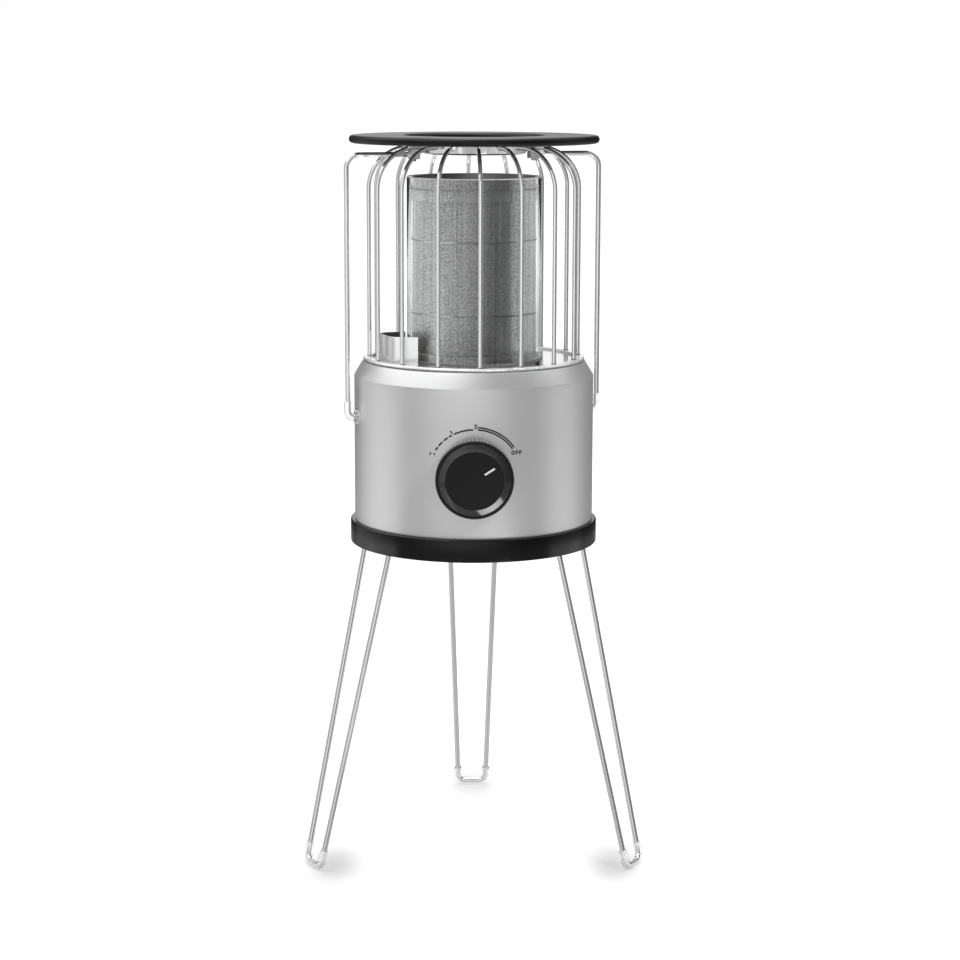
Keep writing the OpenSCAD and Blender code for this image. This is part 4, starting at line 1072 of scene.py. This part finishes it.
def make_world():
    w = bpy.data.worlds.new("studio")
    scene.world = w
    w.use_nodes = True
    nt = w.node_tree
    nt.nodes.clear()
    out = nt.nodes.new("ShaderNodeOutputWorld")
    link = nt.links.new
    coord = nt.nodes.new("ShaderNodeTexCoord").outputs["Generated"]
    sep = nt.nodes.new("ShaderNodeSeparateXYZ")
    link(coord, sep.inputs[0])

    def mth(op, a, b=None, clamp=False):
        n = nt.nodes.new("ShaderNodeMath")
        n.operation, n.use_clamp = op, clamp
        for i, v in enumerate((a, b)):
            if v is None:
                continue
            if hasattr(v, "is_output"):
                link(v, n.inputs[i])
            else:
                n.inputs[i].default_value = v
        return n.outputs[0]

    az = mth("ARCTAN2", sep.outputs["X"], mth("MULTIPLY", sep.outputs["Y"], -1.0))
    t = mth("ADD", mth("DIVIDE", az, TAU), 0.5)
    level = mth("DIVIDE", mth("ARCSINE", sep.outputs["Z"]), math.radians(1))  # degrees above the horizon

    def ring(stops):
        n = nt.nodes.new("ShaderNodeValToRGB")
        e = n.color_ramp.elements
        while len(e) > 1:
            e.remove(e[-1])
        top = max(v for _, v in stops)
        e[0].position, e[0].color = stops[0][0] / 360 + 0.5, (stops[0][1] / top,) * 3 + (1,)
        for a, v in stops[1:]:
            e.new(a / 360 + 0.5).color = (v / top,) * 3 + (1,)
        link(t, n.inputs["Fac"])
        return mth("MULTIPLY", n.outputs["Color"], top)

    def step(lo, hi, x):
        n = nt.nodes.new("ShaderNodeMapRange")
        n.interpolation_type = "SMOOTHSTEP"
        n.inputs["From Min"].default_value, n.inputs["From Max"].default_value = lo, hi
        link(x, n.inputs["Value"])
        return n.outputs["Result"]

    def blend(f, a, b):
        n = nt.nodes.new("ShaderNodeMix")
        n.data_type = "FLOAT"
        for s, v in ((n.inputs[0], f), (n.inputs[2], a), (n.inputs[3], b)):
            if hasattr(v, "is_output"):
                link(v, s)
            else:
                s.default_value = v
        return n.outputs[0]

    walls = ring([(-180, 1.12), (-176, 1.0), (-171, 0.10), (-146, 0.05), (-132, 0.46), (-105, 0.68), (-88, 0.54), (-70, 0.31), (-58, 0.31),
                  (-46, 0.58), (-34, 0.84), (-20, 1.02), (-2, 1.02), (12, 0.76), (26, 0.34), (42, 0.05), (54, 0.02), (66, 0.06), (78, 0.15),
                  (94, 0.20), (112, 0.17), (124, 0.05), (150, 0.04), (171, 0.10), (176, 0.9), (180, 1.12)])
    ceiling = ring([(-180, 0.3), (-165, 0.7), (-150, 0.42), (-136, 2.2), (-120, 3.1), (-100, 1.9), (-74, 1.7), (-44, 1.3), (-26, 0.85), (-10, 0.42), (5, 0.26), (20, 0.08),
                    (34, 0.02), (48, 0.01), (62, 0.01), (75, 0.08), (90, 0.45), (104, 1.4), (120, 1.15), (140, 0.4), (160, 0.3), (180, 0.3)])
    skirt = ring([(-180, 0.5), (-150, 0.2), (-124, 0.9), (-112, 1.7), (-80, 1.9), (-74, 0.36), (-40, 0.32), (0, 0.30), (40, 0.26), (73, 0.30),
                  (78, 1.6), (110, 1.6), (124, 0.5), (150, 0.2), (180, 0.5)])
    low = ring([(-180, 0.7), (-60, 0.75), (-41, 0.55), (-39, 1.15), (-34, 1.1), (-32, 0.5), (0, 0.45), (32, 0.5), (60, 0.7), (180, 0.7)])
    overhead = ring([(-180, 11.0), (-165, 10.5), (-150, 7.0), (-125, 1.2), (-110, 3.0), (-80, 5.0), (-45, 5.6), (-20, 3.6), (0, 1.9), (20, 0.3), (40, 0.15),
                     (70, 0.3), (95, 3.5), (120, 7.5), (150, 10.0), (168, 11.5), (180, 11.0)])
    v = blend(step(22, 40, level), walls, ceiling)
    v = blend(step(60, 67, level), v, overhead)
    v = blend(step(79, 85, level), v, 0.8)
    v = blend(step(-10.6, -11.4, level), v, skirt)
    v = blend(step(-17, -20, level), v, blend(0.5, walls, low))
    v = blend(step(-27, -31, level), v, low)
    v = blend(step(-58, -64, level), v, 0.65)
    path = nt.nodes.new("ShaderNodeLightPath")
    first = mth("MULTIPLY", mth("LESS_THAN", path.outputs["Glossy Depth"], 0.5), mth("LESS_THAN", path.outputs["Diffuse Depth"], 0.5))
    inside = mth("MULTIPLY", mth("LESS_THAN", path.outputs["Transmission Depth"], 2.5), mth("LESS_THAN", path.outputs["Glossy Depth"], 1.5))
    inside = mth("MULTIPLY", inside, mth("LESS_THAN", path.outputs["Diffuse Depth"], 0.5))
    clear = mth("MULTIPLY", path.outputs["Is Transmission Ray"], mth("MAXIMUM", first, inside))
    seen = mth("MAXIMUM", path.outputs["Is Camera Ray"], clear)
    v = blend(seen, v, 1.0)
    bg = nt.nodes.new("ShaderNodeBackground")
    bg.inputs["Color"].default_value = (1, 1, 1, 1)
    link(v, bg.inputs["Strength"])
    link(bg.outputs[0], out.inputs["Surface"])


make_world()


def area(name, where, at, size, power, glossy=True, along=None):
    data = bpy.data.lights.new(name, "AREA")
    data.shape, data.size, data.size_y, data.energy = "RECTANGLE", size[0], size[1], power
    ob = bpy.data.objects.new(name, data)
    scene.collection.objects.link(ob)
    z = (Vector(where) - Vector(at)).normalized()
    x = Vector(along or (1, 0, 0))
    x = (x - z * x.dot(z)).normalized()
    y = z.cross(x)
    ob.matrix_world = Matrix(((x[0], y[0], z[0], where[0]), (x[1], y[1], z[1], where[1]), (x[2], y[2], z[2], where[2]), (0, 0, 0, 1)))
    ob.visible_camera = False
    ob.visible_glossy = glossy
    return ob


area("key_right", (1.3, -1.7, 1.9), (0, 0, 0.35), (0.7, 0.7), 46, glossy=False)
area("fill_left", (-1.9, -1.2, 1.3), (0, 0, 0.35), (1.4, 1.4), 2, glossy=False)
area("top_soft", (0, -0.2, 2.6), (0, 0, 0.3), (2.2, 2.2), 10, glossy=False)
# a small card below the knob to the right, seen only in its bevel
card = area("knob_card", (0.126, -0.351, 0.077), (0.013, -0.14, 0.31), (0.205, 0.12), 0.072, along=(0.189, -0.018, 0.109))
card.data.spread = math.radians(66)
card.visible_diffuse = False

scene.view_settings.view_transform = "Standard"
scene.view_settings.look = "None"
